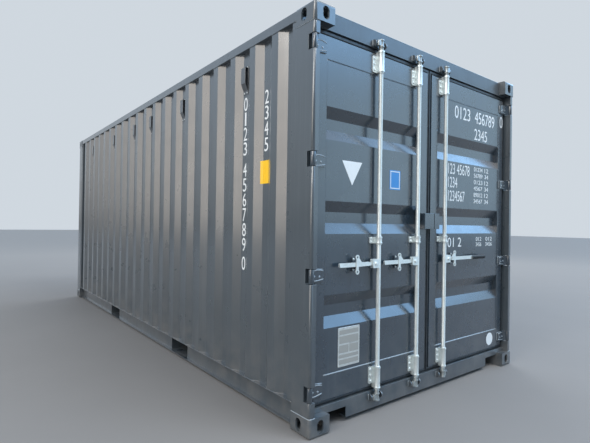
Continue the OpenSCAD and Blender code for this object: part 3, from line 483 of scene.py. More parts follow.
def brushed_plate(name):
    """Bare metal plate, brushed along X, with faint grime"""
    dark_tone = (0.42, 0.44, 0.43, 1.0)
    light_tone = (0.66, 0.68, 0.66, 1.0)
    grime_tone = (0.20, 0.19, 0.17, 1.0)
    s = Shader(name)
    lines = s.noise(60.0, 4.0, 0.6, (0.6, 1.0, 9.0))
    grey = s.blend(s.band(lines, 0.35, 0.65), dark_tone, light_tone)
    s.base(s.blend(s.band(s.noise(16.0, 5.0), 0.52, 0.74, 0.0, 0.5), grey, grime_tone))
    s.rough(s.band(lines, 0.3, 0.7, 0.34, 0.50))
    s.set(Metallic=0.45)
    s.bump(lines, 0.08, 0.0005)
    return s.material


MATERIALS = {}


def finish(name):
    """A named material, made the first time that it is asked for"""
    if name not in MATERIALS:
        makers = {
            "box_paint": lambda: steel_paint("box_paint", colour("box_paint")),
            "casting_paint": lambda: steel_paint("casting_paint", colour("box_paint"), 0.34, 0.5),
            "header_paint": lambda: steel_paint("header_paint", colour("box_paint"), 0.36, 0.35, 0.25),
            "door_paint": lambda: steel_paint("door_paint", colour("door_paint"), 0.26, 0.30),
            # Pale paint whose tone is a painted highlight on the weld beads
            "weld_highlight": lambda: steel_paint("weld_highlight", colour("weld_highlight"), 0.30, 0.2),
            "vent_plastic": lambda: steel_paint("vent_plastic", colour("vent_paint"), 0.45, 0.2),
            "galvanised": lambda: zinc_plating("galvanised", colour("zinc")),
            "rubber": lambda: moulded_rubber("rubber", colour("rubber")),
            "plywood": lambda: plywood_boards("plywood", colour("plywood")),
            "white_mark": lambda: thin_mark("white_mark", colour("mark_white")),
            "blue_mark": lambda: thin_mark("blue_mark", colour("mark_blue"), 0.2),
            "yellow_mark": lambda: thin_mark("yellow_mark", colour("mark_yellow"), 0.3),
            "bare_plate": lambda: brushed_plate("bare_plate"),
            "dark_field": lambda: thin_mark("dark_field", (0.30, 0.30, 0.28, 1.0), 0.2),
        }
        MATERIALS[name] = makers[name]()
    return MATERIALS[name]


def make_piece(name, bm, material, body, smooth=False):
    """Turns a bmesh into a named piece that rides on a body"""
    mesh = bpy.data.meshes.new(name)
    bmesh.ops.recalc_face_normals(bm, faces=bm.faces)
    bm.to_mesh(mesh)
    bm.free()
    mesh.materials.append(finish(material))
    if smooth:
        mesh.shade_smooth()
    piece = bpy.data.objects.new(name, mesh)
    bpy.context.scene.collection.objects.link(piece)
    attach(piece, body)


def join_rings(bm, rings, closed=False):
    """Faces between one ring of points and the next; closed joins the last to the first too"""
    count = len(rings[0])
    following = rings[1:] + rings[:1] if closed else rings[1:]
    for low, high in zip(rings, following):
        for i in range(count):
            j = (i + 1) % count
            bm.faces.new((low[i], low[j], high[j], high[i]))


def cap_rings(bm, rings):
    """A face on the first ring and one on the last"""
    bm.faces.new(list(reversed(rings[0])))
    bm.faces.new(rings[-1])


def add_rings(bm, centre, direction, profile, sides, turn=0.0):
    """Turned shape from (radius, height) pairs along a direction, closed at both ends"""
    spin = Vector(UP).rotation_difference(Vector(direction)).to_matrix()
    rings = []
    for radius, rise in profile:
        ring = []
        for i in range(sides):
            a = 2 * math.pi * i / sides + turn
            local = Vector((radius * math.cos(a), radius * math.sin(a), rise))
            ring.append(bm.verts.new(Vector(centre) + spin @ local))
        rings.append(ring)
    join_rings(bm, rings)
    cap_rings(bm, rings)


def add_bolt(bm, centre, direction, flats=None, rise=None):
    """Hexagon head with chamfered top on a washer"""
    flats = flats or size("bolt_flats")
    rise = rise or size("bolt_height")
    corner = flats / math.sqrt(3.0)
    turn = 0.4 + 7.0 * (centre[0] + centre[2])
    washer = ((flats * 0.66, -0.001), (flats * 0.66, 0.0014), (flats * 0.62, 0.002))
    head = ((corner, 0.0), (corner, rise * 0.80), (corner * 0.84, rise))
    add_rings(bm, centre, direction, washer, 20)
    add_rings(bm, centre, direction, head, 6, turn)


def add_rivet(bm, centre, direction, radius=None):
    """Low domed head"""
    r = radius or size("rivet_radius")
    dome = ((r, -0.0005), (r, r * 0.15), (r * 0.85, r * 0.42), (r * 0.5, r * 0.62), (r * 0.15, r * 0.68))
    add_rings(bm, centre, direction, dome, 12)


def add_ring_collar(bm, centre, inner, outer, rise):
    """Chamfered collar round a vertical rod"""
    sides = 32
    chamfer = min(0.0015, rise * 0.25)
    profile = ((inner, 0.0), (outer - chamfer, 0.0), (outer, chamfer), (outer, rise - chamfer),
               (outer - chamfer, rise), (inner, rise))
    rings = []
    for radius, z in profile:
        rings.append([bm.verts.new((centre[0] + radius * math.cos(2 * math.pi * i / sides),
                                    centre[1] + radius * math.sin(2 * math.pi * i / sides),
                                    centre[2] + z)) for i in range(sides)])
    join_rings(bm, rings, closed=True)


def add_bead(bm, points, radius, seed, step=0.016, sides=6):
    """Weld bead along a line: a tube whose thickness ripples"""
    rng = random.Random(seed)
    path = []
    for a, b in zip(points, points[1:]):
        a, b = Vector(a), Vector(b)
        count = max(1, round((b - a).length / step))
        path += [a.lerp(b, i / count) for i in range(count)]
    path.append(Vector(points[-1]))
    rings = []
    for i, centre in enumerate(path):
        along = (path[min(i + 1, len(path) - 1)] - path[max(i - 1, 0)]).normalized()
        spin = along.to_track_quat("Z", "Y").to_matrix()
        r = radius * (0.86 + 0.28 * rng.random())
        rings.append([bm.verts.new(centre + spin @ Vector((r * math.cos(2 * math.pi * k / sides),
                                                         r * math.sin(2 * math.pi * k / sides), 0)))
                      for k in range(sides)])
    join_rings(bm, rings)
    cap_rings(bm, rings)


def add_plate(bm, outline, origin, across, up, rise):
    """Flat plate from a 2D outline with a small bevel round its face"""
    across, up, origin = Vector(across), Vector(up), Vector(origin)
    out = across.cross(up).normalized()
    middle = sum((Vector(p) for p in outline), Vector((0, 0))) / len(outline)
    layers = []
    for inset, depth in ((1.0, -0.0005), (1.0, rise * 0.5), (0.985, rise)):
        layer = []
        for p in outline:
            q = middle + (Vector(p) - middle) * inset
            layer.append(bm.verts.new(origin + across * q.x + up * q.y + out * depth))
        layers.append(layer)
    join_rings(bm, layers)
    cap_rings(bm, layers)


def rectangle(x0, x1, z0, z1):
    """Outline with sharp corners"""
    return ((x0, z0), (x1, z0), (x1, z1), (x0, z1))


def rounded_outline(x0, x1, z0, z1, r, steps=4):
    """Outline with round corners"""
    corners = ((x1 - r, z1 - r, 0), (x0 + r, z1 - r, 90), (x0 + r, z0 + r, 180), (x1 - r, z0 + r, 270))
    points = []
    for cx, cz, start in corners:
        for i in range(steps + 1):
            a = math.radians(start + 90 * i / steps)
            points.append((cx + r * math.cos(a), cz + r * math.sin(a)))
    return points


def sweep_frame(bm, low, high, profile, head=1.0):
    """Runs a closed profile of (outward, depth) pairs round a rectangle; head stretches it at the top"""
    corners = ((low[0], low[1], -1, -1), (high[0], low[1], 1, -1), (high[0], high[1], 1, head),
               (low[0], high[1], -1, head))
    rings = [[bm.verts.new((x + sx * o, d, z + sz * o)) for o, d in profile] for x, z, sx, sz in corners]
    join_rings(bm, rings, closed=True)


def wall_line(side, z):
    """Outer face of a side wall as points from the door end to the closed end"""
    y0, y1 = WALL_LOW.y, WALL_HIGH.y
    crest = WALL_LOW.x
    points = [(y0, crest), (y0 + END_STRIP - END_SLOPE, crest), (y0 + END_STRIP, VALLEY_X)]
    for i in range(WAVE_COUNT):
        c = (i - (WAVE_COUNT - 1) / 2) * WAVE_PITCH
        points += [(c - WAVE_CREST / 2 - WAVE_SLOPE, VALLEY_X), (c - WAVE_CREST / 2, crest),
                   (c + WAVE_CREST / 2, crest), (c + WAVE_CREST / 2 + WAVE_SLOPE, VALLEY_X)]
    points += [(y1 - END_STRIP, VALLEY_X), (y1 - END_STRIP + END_SLOPE, crest), (y1, crest)]
    return [(-side * x, y, z) for y, x in points]


def place_camera(scene):
    """The camera, where the photograph was taken from"""
    data = bpy.data.cameras.new("camera")
    data.sensor_width = 36.0
    data.lens = size("lens")
    data.clip_end = 300.0
    camera = bpy.data.objects.new("camera", data)
    level = math.cos(CAMERA_PITCH)
    look = Vector((math.sin(CAMERA_YAW) * level, math.cos(CAMERA_YAW) * level, math.sin(CAMERA_PITCH)))
    flat = look.cross(Vector(UP)).normalized()
    steep = flat.cross(look)
    right = math.cos(CAMERA_ROLL) * flat + math.sin(CAMERA_ROLL) * steep
    up = -math.sin(CAMERA_ROLL) * flat + math.cos(CAMERA_ROLL) * steep
    turn = Matrix((right, up, -look)).transposed().to_4x4()
    camera.matrix_world = Matrix.Translation(CAMERA_PLACE) @ turn
    scene.collection.objects.link(camera)
    scene.camera = camera


def lay_studio_floor(scene):
    """Pale floor, lighter far away from the container as a painted grazing sheen"""
    bm = bmesh.new()
    bmesh.ops.create_grid(bm, x_segments=8, y_segments=8, size=STUDIO_REACH)
    mesh = bpy.data.meshes.new("studio_floor")
    bm.to_mesh(mesh)
    bm.free()
    s = Shader("studio_floor")
    tone = colour("floor")
    near = s.blend(s.band(s.noise(0.8, 5.0), 0.3, 0.7), shaded(tone, 0.90), shaded(tone, 0.96))
    # Painted sheen: the floor grows lighter with distance, for the glare of the ground seen at a grazing
    # angle
    far = (tone[0] * 1.46, tone[1] * 1.40, tone[2] * 1.34, 1.0)
    s.base(s.blend(s.band(s.distance(), 3.5, 13.0), near, far))
    s.set(Roughness=0.75)
    mesh.materials.append(s.material)
    floor = bpy.data.objects.new("studio_floor", mesh)
    scene.collection.objects.link(floor)


def world_light():
    """Sky dome with soft tinted patches for the paint to mirror, and a plain pale sky to look at"""
    world = bpy.data.worlds.new("studio_surround")
    bpy.context.scene.world = world
    world.use_nodes = True
    w = Nodes(world.node_tree)
    w.tree.nodes.clear()
    toward = w.add("ShaderNodeTexCoord").outputs["Generated"]

    def facing(direction, low, high):
        """Fades in near a direction, between two cosines of the angle to it"""
        dot = w.add("ShaderNodeVectorMath", operation="DOT_PRODUCT")
        w.link(toward, dot.inputs[0])
        dot.inputs[1].default_value = Vector(direction).normalized()
        return w.band(dot.outputs["Value"], low, high)

    ramp = w.add("ShaderNodeValToRGB")
    w.link(w.band(w.part(toward, "Z"), -1.0, 1.0), ramp.inputs["Fac"])
    for element, (position, tone) in zip(ramp.color_ramp.elements, (SKY_STOPS[0], SKY_STOPS[-1])):
        element.position = position
        element.color = (*tone, 1.0)
    for position, tone in SKY_STOPS[1:-1]:
        ramp.color_ramp.elements.new(position).color = (*tone, 1.0)

    # Low on the right in front of the doors, for their flat faces
    sky = w.blend(facing((0.75, -0.65, 0.10), 0.72, 0.95), ramp.outputs["Color"], (0.70, 0.95, 1.15, 1.0))
    sky = w.blend(facing((0.65, -0.74, 0.12), 0.93, 0.985), sky, (1.20, 1.60, 1.90, 1.0))
    # Blue band above it, for the slopes of the door grooves
    blue = w.maths("MULTIPLY", facing((0.90, -0.40, 0.30), 0.70, 0.86), facing(UP, 0.30, 0.42))
    blue = w.maths("MULTIPLY", blue, facing(UP, 0.74, 0.42))
    sky = w.blend(blue, sky, (1.75, 3.20, 5.20, 1.0))
    # Warm patch on the left, for the slopes of the side wall
    sky = w.blend(facing((-0.98, -0.05, 0.20), 0.88, 0.98), sky, (4.0, 3.65, 3.3, 1.0))
    # Darker behind the camera
    sky = w.blend(facing((-0.55, -0.83, 0.0), 0.62, 0.95), sky, (0.40, 0.42, 0.44, 1.0), "MULTIPLY")

    lit = w.add("ShaderNodeBackground")
    lit.inputs["Strength"].default_value = 1.0
    w.link(sky, lit.inputs["Color"])
    seen = w.add("ShaderNodeBackground")
    seen.inputs["Color"].default_value = SKY_SEEN
    seen.inputs["Strength"].default_value = SKY_SEEN_STRENGTH
    mix = w.add("ShaderNodeMixShader")
    w.link(w.add("ShaderNodeLightPath").outputs["Is Camera Ray"], mix.inputs["Fac"])
    w.link(lit.outputs["Background"], mix.inputs[1])
    w.link(seen.outputs["Background"], mix.inputs[2])
    w.link(mix.outputs["Shader"], w.add("ShaderNodeOutputWorld").inputs["Surface"])


def area_light(name, place, target, width, depth, power, tone):
    """Large soft light aimed at a point"""
    data = bpy.data.lights.new(name, "AREA")
    data.shape = "RECTANGLE"
    data.size = width
    data.size_y = depth
    data.energy = power
    data.color = tone
    light = bpy.data.objects.new(name, data)
    light.location = place
    light.rotation_euler = (Vector(target) - Vector(place)).to_track_quat("-Z", "Y").to_euler()
    bpy.context.scene.collection.objects.link(light)


class CONTAINER_OT_set_stage(bpy.types.Operator):
    """Makes the camera, the pale floor and the soft light"""

    bl_idname = "container.set_stage"
    bl_label = "Stage"

    def execute(self, context):
        place_camera(context.scene)
        lay_studio_floor(context.scene)
        world_light()
        for light in LIGHTS:
            area_light(*light)
        context.scene.view_settings.view_transform = "Standard"
        return {"FINISHED"}


class CONTAINER_OT_paint_frame(bpy.types.Operator):
    """Gives every CAD node its finish and rounded edges"""

    bl_idname = "container.paint_frame"
    bl_label = "Paint and plating"

    def execute(self, context):
        blade_rounding = 2.6
        slots = {part["node"]: part["material_slot"] for part in frame["record"]["subparts"]}
        for name, node in frame["nodes"].items():
            material = finish("header_paint" if name == "door_header" else slots[name])
            node.data.materials.clear()
            node.data.materials.append(material)
            weld = node.modifiers.new("weld", "WELD")
            weld.merge_threshold = 0.00002
            bevel = node.modifiers.new("edges", "BEVEL")
            rounding = blade_rounding if name.startswith("hinge_blades") else 1.0
            bevel.width = size("edge_rounding") * rounding
            bevel.segments = 2
            bevel.limit_method = "ANGLE"
            bevel.angle_limit = math.radians(32)
            bevel.use_clamp_overlap = True
            bevel.harden_normals = True
        return {"FINISHED"}


class CONTAINER_OT_fit_bolts(bpy.types.Operator):
    """Bolts and rivets the rod bearings, the rod guides and the handle catches to the doors"""

    bl_idname = "container.fit_bolts"
    bl_label = "Bolts"

    def execute(self, context):
        bearing_y = FACE_Y - BEARING_PLATE
        guide_y = PANEL_Y - BEARING_PLATE
        catch_y = FACE_Y - CATCH_PLATE
        for door in ("door_left", "door_right"):
            bm = bmesh.new()
            for name, x, body in RODS:
                if body != door:
                    continue
                for z in BEARING_Z:
                    for dz in BEARING_BOLT_Z:
                        add_bolt(bm, (x + BEARING_BOLT_X, bearing_y, z + dz), FORWARD)
                    for dz in BEARING_RIVET_Z:
                        add_rivet(bm, (x + BEARING_RIVET_X, bearing_y, z + dz), FORWARD, BEARING_RIVET)
                for dz in GUIDE_BOLT_Z:
                    add_bolt(bm, (x + GUIDE_BOLT_X, guide_y, GUIDE_Z + dz), FORWARD, GUIDE_BOLT, THIN_HEAD)
                for dz in CATCH_BOLT_Z:
                    place = (x + CATCH_BOLT_X[name], catch_y, HANDLE_Z + dz)
                    add_bolt(bm, place, FORWARD, CATCH_BOLT, THIN_HEAD)
            make_piece(f"foot_bolts_{door[5:]}", bm, "galvanised", door)
        return {"FINISHED"}


class CONTAINER_OT_fit_collars(bpy.types.Operator):
    """Fits the thrust collars on the rods and the nuts on the handle pins"""

    bl_idname = "container.fit_collars"
    bl_label = "Rod collars and pin nuts"

    def execute(self, context):
        for name, x, _ in RODS:
            bm = bmesh.new()
            for z in COLLAR_Z:
                add_ring_collar(bm, (x, ROD_Y, z), COLLAR_INNER, COLLAR_OUTER, COLLAR_RISE)
            s = 1 if name == "right" else -1
            add_bolt(bm, (x + s * PIN_X, ROD_Y - PIN_FRONT, HANDLE_Z), FORWARD, PIN_NUT, PIN_NUT_RISE)
            make_piece(f"rod_collars_{name}", bm, "galvanised", f"rod_{name}")
        return {"FINISHED"}


class CONTAINER_OT_fit_grip(bpy.types.Operator):
    """Slips the ribbed rubber grip over the long handle"""

    bl_idname = "container.fit_grip"
    bl_label = "Handle grip"

    def execute(self, context):
        _, rod_x, _ = RODS[2]
        start = rod_x + GRIP_TIP - GRIP_LENGTH
        ribbed = GRIP_LENGTH - 0.024
        rib = ribbed / GRIP_RIBS
        low, high, flange = GRIP_RADIUS, GRIP_RADIUS + GRIP_RIB_RISE, GRIP_RADIUS * 1.12
        profile = [(low * 0.8, -0.002), (low, 0.002)]
        for i in range(GRIP_RIBS):
            z = 0.010 + ribbed * i / GRIP_RIBS
            profile += [(low, z), (high, z + 0.25 * rib), (high, z + 0.60 * rib), (low, z + 0.85 * rib)]
        profile += [(low, GRIP_LENGTH - 0.010), (flange, GRIP_LENGTH - 0.006), (flange, GRIP_LENGTH + 0.001),
                    (low * 0.8, GRIP_LENGTH + 0.004)]
        bm = bmesh.new()
        add_rings(bm, (start, ROD_Y, HANDLE_Z), RIGHT, profile, 28)
        make_piece("handle_grip", bm, "rubber", "lever_right")
        return {"FINISHED"}


class CONTAINER_OT_fit_seals(bpy.types.Operator):
    """Fits the front lips of the door seals and the strips that hold the seals inside"""

    bl_idname = "container.fit_seals"
    bl_label = "Door seals"

    def execute(self, context):
        front, back = FACE_Y + 0.006, FACE_Y + 0.024
        lip = [(-0.001, front + 0.011), (0.0035, front + 0.011), (0.0052, front + 0.002), (0.0085, front),
               (0.0190, front + 0.0005), (0.0228, front + 0.003), (0.0238, front + 0.007),
               (0.0220, front + 0.012), (0.015, back), (-0.001, back)]
        root, face = DOOR_HIGH.y - 0.001, DOOR_HIGH.y + STRIP_RISE
        strip = [(STRIP_INNER, root), (STRIP_INNER, face), (STRIP_OUTER, face), (STRIP_OUTER, root)]
        z0, z1 = DOOR_LOW.z, DOOR_HIGH.z
        last_upright, last_level = 11, 5
        for name, x0, x1 in (("left", DOOR_LOW.x, DOOR_HIGH.x), ("right", -DOOR_HIGH.x, -DOOR_LOW.x)):
            bm = bmesh.new()
            sweep_frame(bm, (x0, z0), (x1, z1), lip, SEAL_HEAD)
            make_piece(f"seal_lip_{name}", bm, "rubber", f"door_{name}")
            bm = bmesh.new()
            sweep_frame(bm, (x0, z0), (x1, z1), strip)
            for i in range(last_upright + 1):
                z = z0 + 0.08 + (z1 - z0 - 0.16) * i / last_upright
                for x in (x0 + STRIP_MIDDLE, x1 - STRIP_MIDDLE):
                    add_rivet(bm, (x, face, z), INWARD)
            for i in range(last_level + 1):
                x = x0 + 0.09 + (x1 - x0 - 0.18) * i / last_level
                for z in (z0 + STRIP_MIDDLE, z1 - STRIP_MIDDLE):
                    add_rivet(bm, (x, face, z), INWARD)
            make_piece(f"seal_strip_{name}", bm, "galvanised", f"door_{name}")
        return {"FINISHED"}


def weld_wall(side, name):
    """Beads round the edge of a side wall"""
    r = size("weld_radius")
    step = 0.02
    foot = wall_line(side, WALL_LOW.z + 0.001)
    head = [(x, y, WALL_HIGH.z - 0.001) for x, y, z in foot]
    bm = bmesh.new()
    add_bead(bm, foot, r, SEEDS["wall_foot"] + side, step)
    add_bead(bm, head, r, SEEDS["wall_head"] + side, step)
    x = side * (-WALL_LOW.x)
    for y in (WALL_LOW.y + 0.001, WALL_HIGH.y - 0.001):
        upright = [(x, y, WALL_LOW.z + 0.004), (x, y, WALL_HIGH.z - 0.004)]
        add_bead(bm, upright, r, SEEDS["wall_ends"] + side, step)
    make_piece(f"wall_welds_{name}", bm, "box_paint", "container", True)


def weld_castings(side, name):
    """Beads round the corners of the posts, where they meet the castings, in pale paint as a painted
    highlight on the casting's edge
    """
    bm = bmesh.new()
    for end in (-1, 1):
        out_x, out_y = side * (BOX_HIGH.x - POST_SET_X), end * (BOX_HIGH.y - POST_SET_Y)
        in_x, in_y = out_x - side * CASTING_BEAD_END, out_y - end * CASTING_BEAD_SIDE
        arc = [(out_x - side * POST_ROUNDING * (1 - math.cos(a)),
                out_y - end * POST_ROUNDING * (1 - math.sin(a)))
               for a in (math.pi * k / 12 for k in range(7))]
        line = [(out_x, in_y)] + arc + [(in_x, out_y)]
        for z in (CASTING_BEAD_Z, BOX_HIGH.z - CASTING_BEAD_Z):
            add_bead(bm, [(x, y, z) for x, y in line], 0.0034, SEEDS["casting"] + side, 0.009)
    make_piece(f"casting_welds_{name}", bm, "weld_highlight", "container", True)


def panel_edges(side):
    """Left, right, low and high bead of a door panel, and their depth"""
    x0, x1 = PANEL_LOW.x, PANEL_HIGH.x
    if side > 0:
        x0, x1 = -x1, -x0
    return x0, x1, PANEL_LOW.z + 0.0015, PANEL_HIGH.z - 0.0015, PANEL_Y - 0.0006


def weld_panel(side, name):
    """Beads over a door panel and along its sides, in and out of the grooves"""
    radius, step = 0.0022, 0.014
    x0, x1, z0, z1, y = panel_edges(side)
    profile = [(z0, 0.0)]
    for z in GROOVE_Z:
        low, high = z - GROOVE_HALF_FLAT, z + GROOVE_HALF_FLAT
        profile += [(low - GROOVE_SLOPE, 0.0), (low, GROOVE_DEPTH),
                    (high, GROOVE_DEPTH), (high + GROOVE_SLOPE, 0.0)]
    profile.append((z1, 0.0))
    bm = bmesh.new()
    add_bead(bm, [(x0, y, z1), (x1, y, z1)], radius, SEEDS["panel"] + side, step)
    for x in (x0 + 0.001, x1 - 0.001):
        add_bead(bm, [(x, y + d, z) for z, d in profile], radius, SEEDS["panel_sides"] + side, step)
    make_piece(f"door_welds_{name}", bm, "door_paint", f"door_{name}", True)


def weld_hinges(side, name):
    """Pale bead under a door panel, painted as the highlight line on the panel's lower edge, and the dots,
    ribs and toes of its hinge blades, in the same pale paint as painted highlights on the blade's outline
    """
    x0, x1, z0, _, y = panel_edges(side)
    face = FACE_Y - BLADE
    bm = bmesh.new()
    add_bead(bm, [(x0, y, z0), (x1, y, z0)], 0.0050, SEEDS["panel"] + side, 0.02)
    for z in HINGE_Z:
        for x, dz in HINGE_DOTS:
            add_rings(bm, (side * x, face, z + dz), FORWARD, HINGE_DOT_PROFILE, 16)
        for rib in HINGE_RIBS:
            line = [(side * x, face + 0.0005, z + dz) for x, dz in rib]
            add_bead(bm, line, 0.0042, SEEDS["hinge"], 0.012, 8)
        toe = [(side * x, FACE_Y - 0.001, z + dz) for x, dz in HINGE_TOE]
        add_bead(bm, toe, 0.0032, SEEDS["hinge"], 0.01)
    make_piece(f"hinge_welds_{name}", bm, "weld_highlight", f"door_{name}", True)


def weld_keepers():
    """Upright beads at both sides of each keeper, in pale paint as painted highlights on the keepers' edges
    """
    bm = bmesh.new()
    for _, x, _ in RODS:
        for z, depth in KEEPERS:
            y = BOX_LOW.y + depth - 0.001
            for s in (-1, 1):
                edge = x + s * KEEPER_HALF
                line = [(edge, y, z - KEEPER_BEAD), (edge, y, z + KEEPER_BEAD)]
                add_bead(bm, line, 0.0028, SEEDS["keeper"], 0.01)
    make_piece("keeper_welds", bm, "weld_highlight", "container", True)


class CONTAINER_OT_lay_welds(bpy.types.Operator):
    """Lays the weld beads of walls, castings, doors, hinges and keepers"""

    bl_idname = "container.lay_welds"
    bl_label = "Weld beads"

    def execute(self, context):
        for side, name in ((-1, "left"), (1, "right")):
            weld_wall(side, name)
            weld_castings(side, name)
            weld_panel(side, name)
            weld_hinges(side, name)
        weld_keepers()
        return {"FINISHED"}


class CONTAINER_OT_fit_rivets(bpy.types.Operator):
    """Rivets the ventilators to the wall valleys"""

    bl_idname = "container.fit_rivets"
    bl_label = "Ventilator rivets"

    def execute(self, context):
        for side, name in ((-1, "left"), (1, "right")):
            bm = bmesh.new()
            x = side * (BOX_HIGH.x - VENT_DEPTH)
            for k in VENT_VALLEYS:
                for s in (-1, 1):
                    for dy in VENT_RIVET_Y:
                        for z in VENT_RIVET_Z:
                            add_rivet(bm, (x, s * k * WAVE_PITCH + dy, z), (side, 0, 0))
            make_piece(f"vent_rivets_{name}", bm, "galvanised", "container", True)
        return {"FINISHED"}


def fit_blank_plate():
    """Bare plate low on the left door, with a rivet in each corner and blank fields"""
    plate, field = 0.0022, 0.0008
    bm = bmesh.new()
    outline = rounded_outline(-0.934, -0.738, 0.356, 0.606, 0.006)
    add_plate(bm, outline, (0, PANEL_Y, 0), RIGHT, UP, plate)
    for x in (-0.927, -0.745):
        for z in (0.363, 0.599):
            add_rivet(bm, (x, PANEL_Y - plate, z), FORWARD, 0.003)
    make_piece("blank_plate", bm, "bare_plate", "door_left")
    bm = bmesh.new()
    for corners in ((-0.922, -0.750, 0.562, 0.590), (-0.922, -0.750, 0.504, 0.552),
                    (-0.922, -0.840, 0.444, 0.494), (-0.832, -0.750, 0.444, 0.494),
                    (-0.922, -0.750, 0.412, 0.434), (-0.922, -0.750, 0.372, 0.402)):
        add_plate(bm, rounded_outline(*corners, 0.003, 2), (0, PANEL_Y - plate, 0), RIGHT, UP, field)
    make_piece("blank_fields", bm, "dark_field", "door_left")


def fit_door_patches():
    """Blue patch with a white border and a white triangle on the left door, a white disc on the right one"""
    lift = size("mark_lift")
    panel = (0, PANEL_Y, 0)
    bm = bmesh.new()
    add_plate(bm, rounded_outline(-0.452, -0.336, 1.518, 1.656, 0.004), panel, RIGHT, UP, lift)
    make_piece("blue_patch", bm, "blue_mark", "door_left")
    bm = bmesh.new()
    for corners in ((-0.445, -0.343, 1.643, 1.649), (-0.445, -0.343, 1.525, 1.531),
                    (-0.445, -0.439, 1.531, 1.643), (-0.349, -0.343, 1.531, 1.643)):
        add_plate(bm, rectangle(*corners), (0, PANEL_Y - lift, 0), RIGHT, UP, lift * 0.5)
    add_plate(bm, ((-0.826, 1.520), (-0.734, 1.676), (-0.918, 1.676)), panel, RIGHT, UP, lift)
    make_piece("white_patches", bm, "white_mark", "door_left")
    x, z, radius, sides = 0.944, 0.257, 0.055, 40
    disc = [(x + radius * math.cos(2 * math.pi * i / sides), z + radius * math.sin(2 * math.pi * i / sides))
            for i in range(sides)]
    bm = bmesh.new()
    add_plate(bm, disc, (0, FACE_Y, 0), RIGHT, UP, lift)
    make_piece("white_disc", bm, "white_mark", "door_right")


def fit_side_patch():
    """Yellow patch in a valley of the left side wall, folded onto the slope beside it"""
    lift = size("mark_lift")
    middle = -9 * WAVE_PITCH
    edge = WAVE_PITCH / 2 - WAVE_CREST / 2 - WAVE_SLOPE
    low, high, near, fold = 1.540, 1.700, 0.033, 0.022
    slope = Vector((WAVE_DEPTH, -WAVE_SLOPE, 0)).normalized()
    bm = bmesh.new()
    add_plate(bm, rectangle(-middle - edge, -middle + near, low, high), (VALLEY_X, 0, 0), FORWARD, UP, lift)
    add_plate(bm, rectangle(-fold, 0.0, low, high), (VALLEY_X, middle + edge, 0), slope, UP, lift)
    make_piece("yellow_patch", bm, "yellow_mark", "container")


class CONTAINER_OT_fit_plates(bpy.types.Operator):
    """Fits the blank metal plate and the plain patches"""

    bl_idname = "container.fit_plates"
    bl_label = "Plates and patches"

    def execute(self, context):
        fit_blank_plate()
        fit_door_patches()
        fit_side_patch()
        return {"FINISHED"}


def digit_mesh(text):
    """Flat mesh of a row of digits"""
    data = bpy.data.curves.new("stencil_row", "FONT")
    data.body = text
    holder = bpy.data.objects.new("stencil_row", data)
    bpy.context.scene.collection.objects.link(holder)
    graph = bpy.context.evaluated_depsgraph_get()
    mesh = bpy.data.meshes.new_from_object(holder.evaluated_get(graph))
    bpy.data.objects.remove(holder)
    bpy.data.curves.remove(data)
    return mesh


def stencil(name, rows, body):
    """Digits as thin raised paint; a row is text, low corner, high corner, origin, across and up"""
    bm = bmesh.new()
    lift, sunk = size("mark_lift"), 0.0003
    for text, low, high, origin, across, up in rows:
        mesh = digit_mesh(text)
        xs = [v.co.x for v in mesh.vertices]
        ys = [v.co.y for v in mesh.vertices]
        origin, across, up = Vector(origin), Vector(across), Vector(up)
        out = across.cross(up).normalized()
        scale_x = (high[0] - low[0]) / (max(xs) - min(xs))
        scale_y = (high[1] - low[1]) / (max(ys) - min(ys))
        face, root = [], []
        for v in mesh.vertices:
            x = low[0] + (v.co.x - min(xs)) * scale_x
            y = low[1] + (v.co.y - min(ys)) * scale_y
            place = origin + across * x + up * y + out * lift
            face.append(bm.verts.new(place))
            root.append(bm.verts.new(place - out * (lift + sunk)))
        edges = Counter()
        for polygon in mesh.polygons:
            bm.faces.new([face[i] for i in polygon.vertices])
            bm.faces.new([root[i] for i in reversed(polygon.vertices)])
            edges.update(polygon.edge_keys)
        for (i, j), uses in edges.items():
            if uses == 1:
                bm.faces.new((face[i], face[j], root[j], root[i]))
        bpy.data.meshes.remove(mesh)
    make_piece(name, bm, "white_mark", body)


def door_row(text, x0, x1, z0, z1, y=PANEL_Y):
    """A row of digits on a door, spread over a rectangle"""
    return (text, (x0, z0), (x1, z1), (0, y, 0), RIGHT, UP)


def door_rows():
    """Plain runs of digits for the right door"""
    rows = [door_row("0123", 0.352, 0.585, 2.155, 2.258),
            door_row("456789", 0.660, 0.990, 2.155, 2.258),
            door_row("2345", 0.655, 0.865, 2.012, 2.108),
            door_row("0", 1.083, 1.133, 2.178, 2.282, FACE_Y)]
    wide, narrow = (0.655, 0.795), (0.830, 0.895)
    for z, tall, end, upper, lower in ((1.706, "123 45678", 0.585, "01234", "56789"),
                                       (1.596, "1234", 0.400, "0123", "4567"),
                                       (1.486, "1234567", 0.512, "89012", "34567")):
        rows.append(door_row(tall, 0.268, end, z - 0.016, z + 0.070))
        for text, span in ((upper, wide), ("12", narrow)):
            rows.append(door_row(text, *span, z + 0.034, z + 0.070))
        for text, span in ((lower, wide), ("34", narrow)):
            rows.append(door_row(text, *span, z - 0.020, z + 0.016))
    rows.append(door_row("01 2", 0.270, 0.470, 1.095, 1.172))
    for span in ((0.700, 0.790), (0.860, 0.970)):
        rows.append(door_row("012", *span, 1.140, 1.174))
        rows.append(door_row("3456", *span, 1.094, 1.128))
    return rows


def side_column(text, top, valley, tall, half_width):
    """Rows of one digit each, one under the other in a valley of the left side wall"""
    pitch, narrow = 0.110, 0.010
    y = valley * WAVE_PITCH
    rows = []
    for i, digit in enumerate(text):
        z = top - pitch * (i + 1)
        half = narrow if digit == "1" else half_width
        rows.append((digit, (y - half, z), (y + half, z + tall), (VALLEY_X, 0, 0), FORWARD, UP))
    return rows


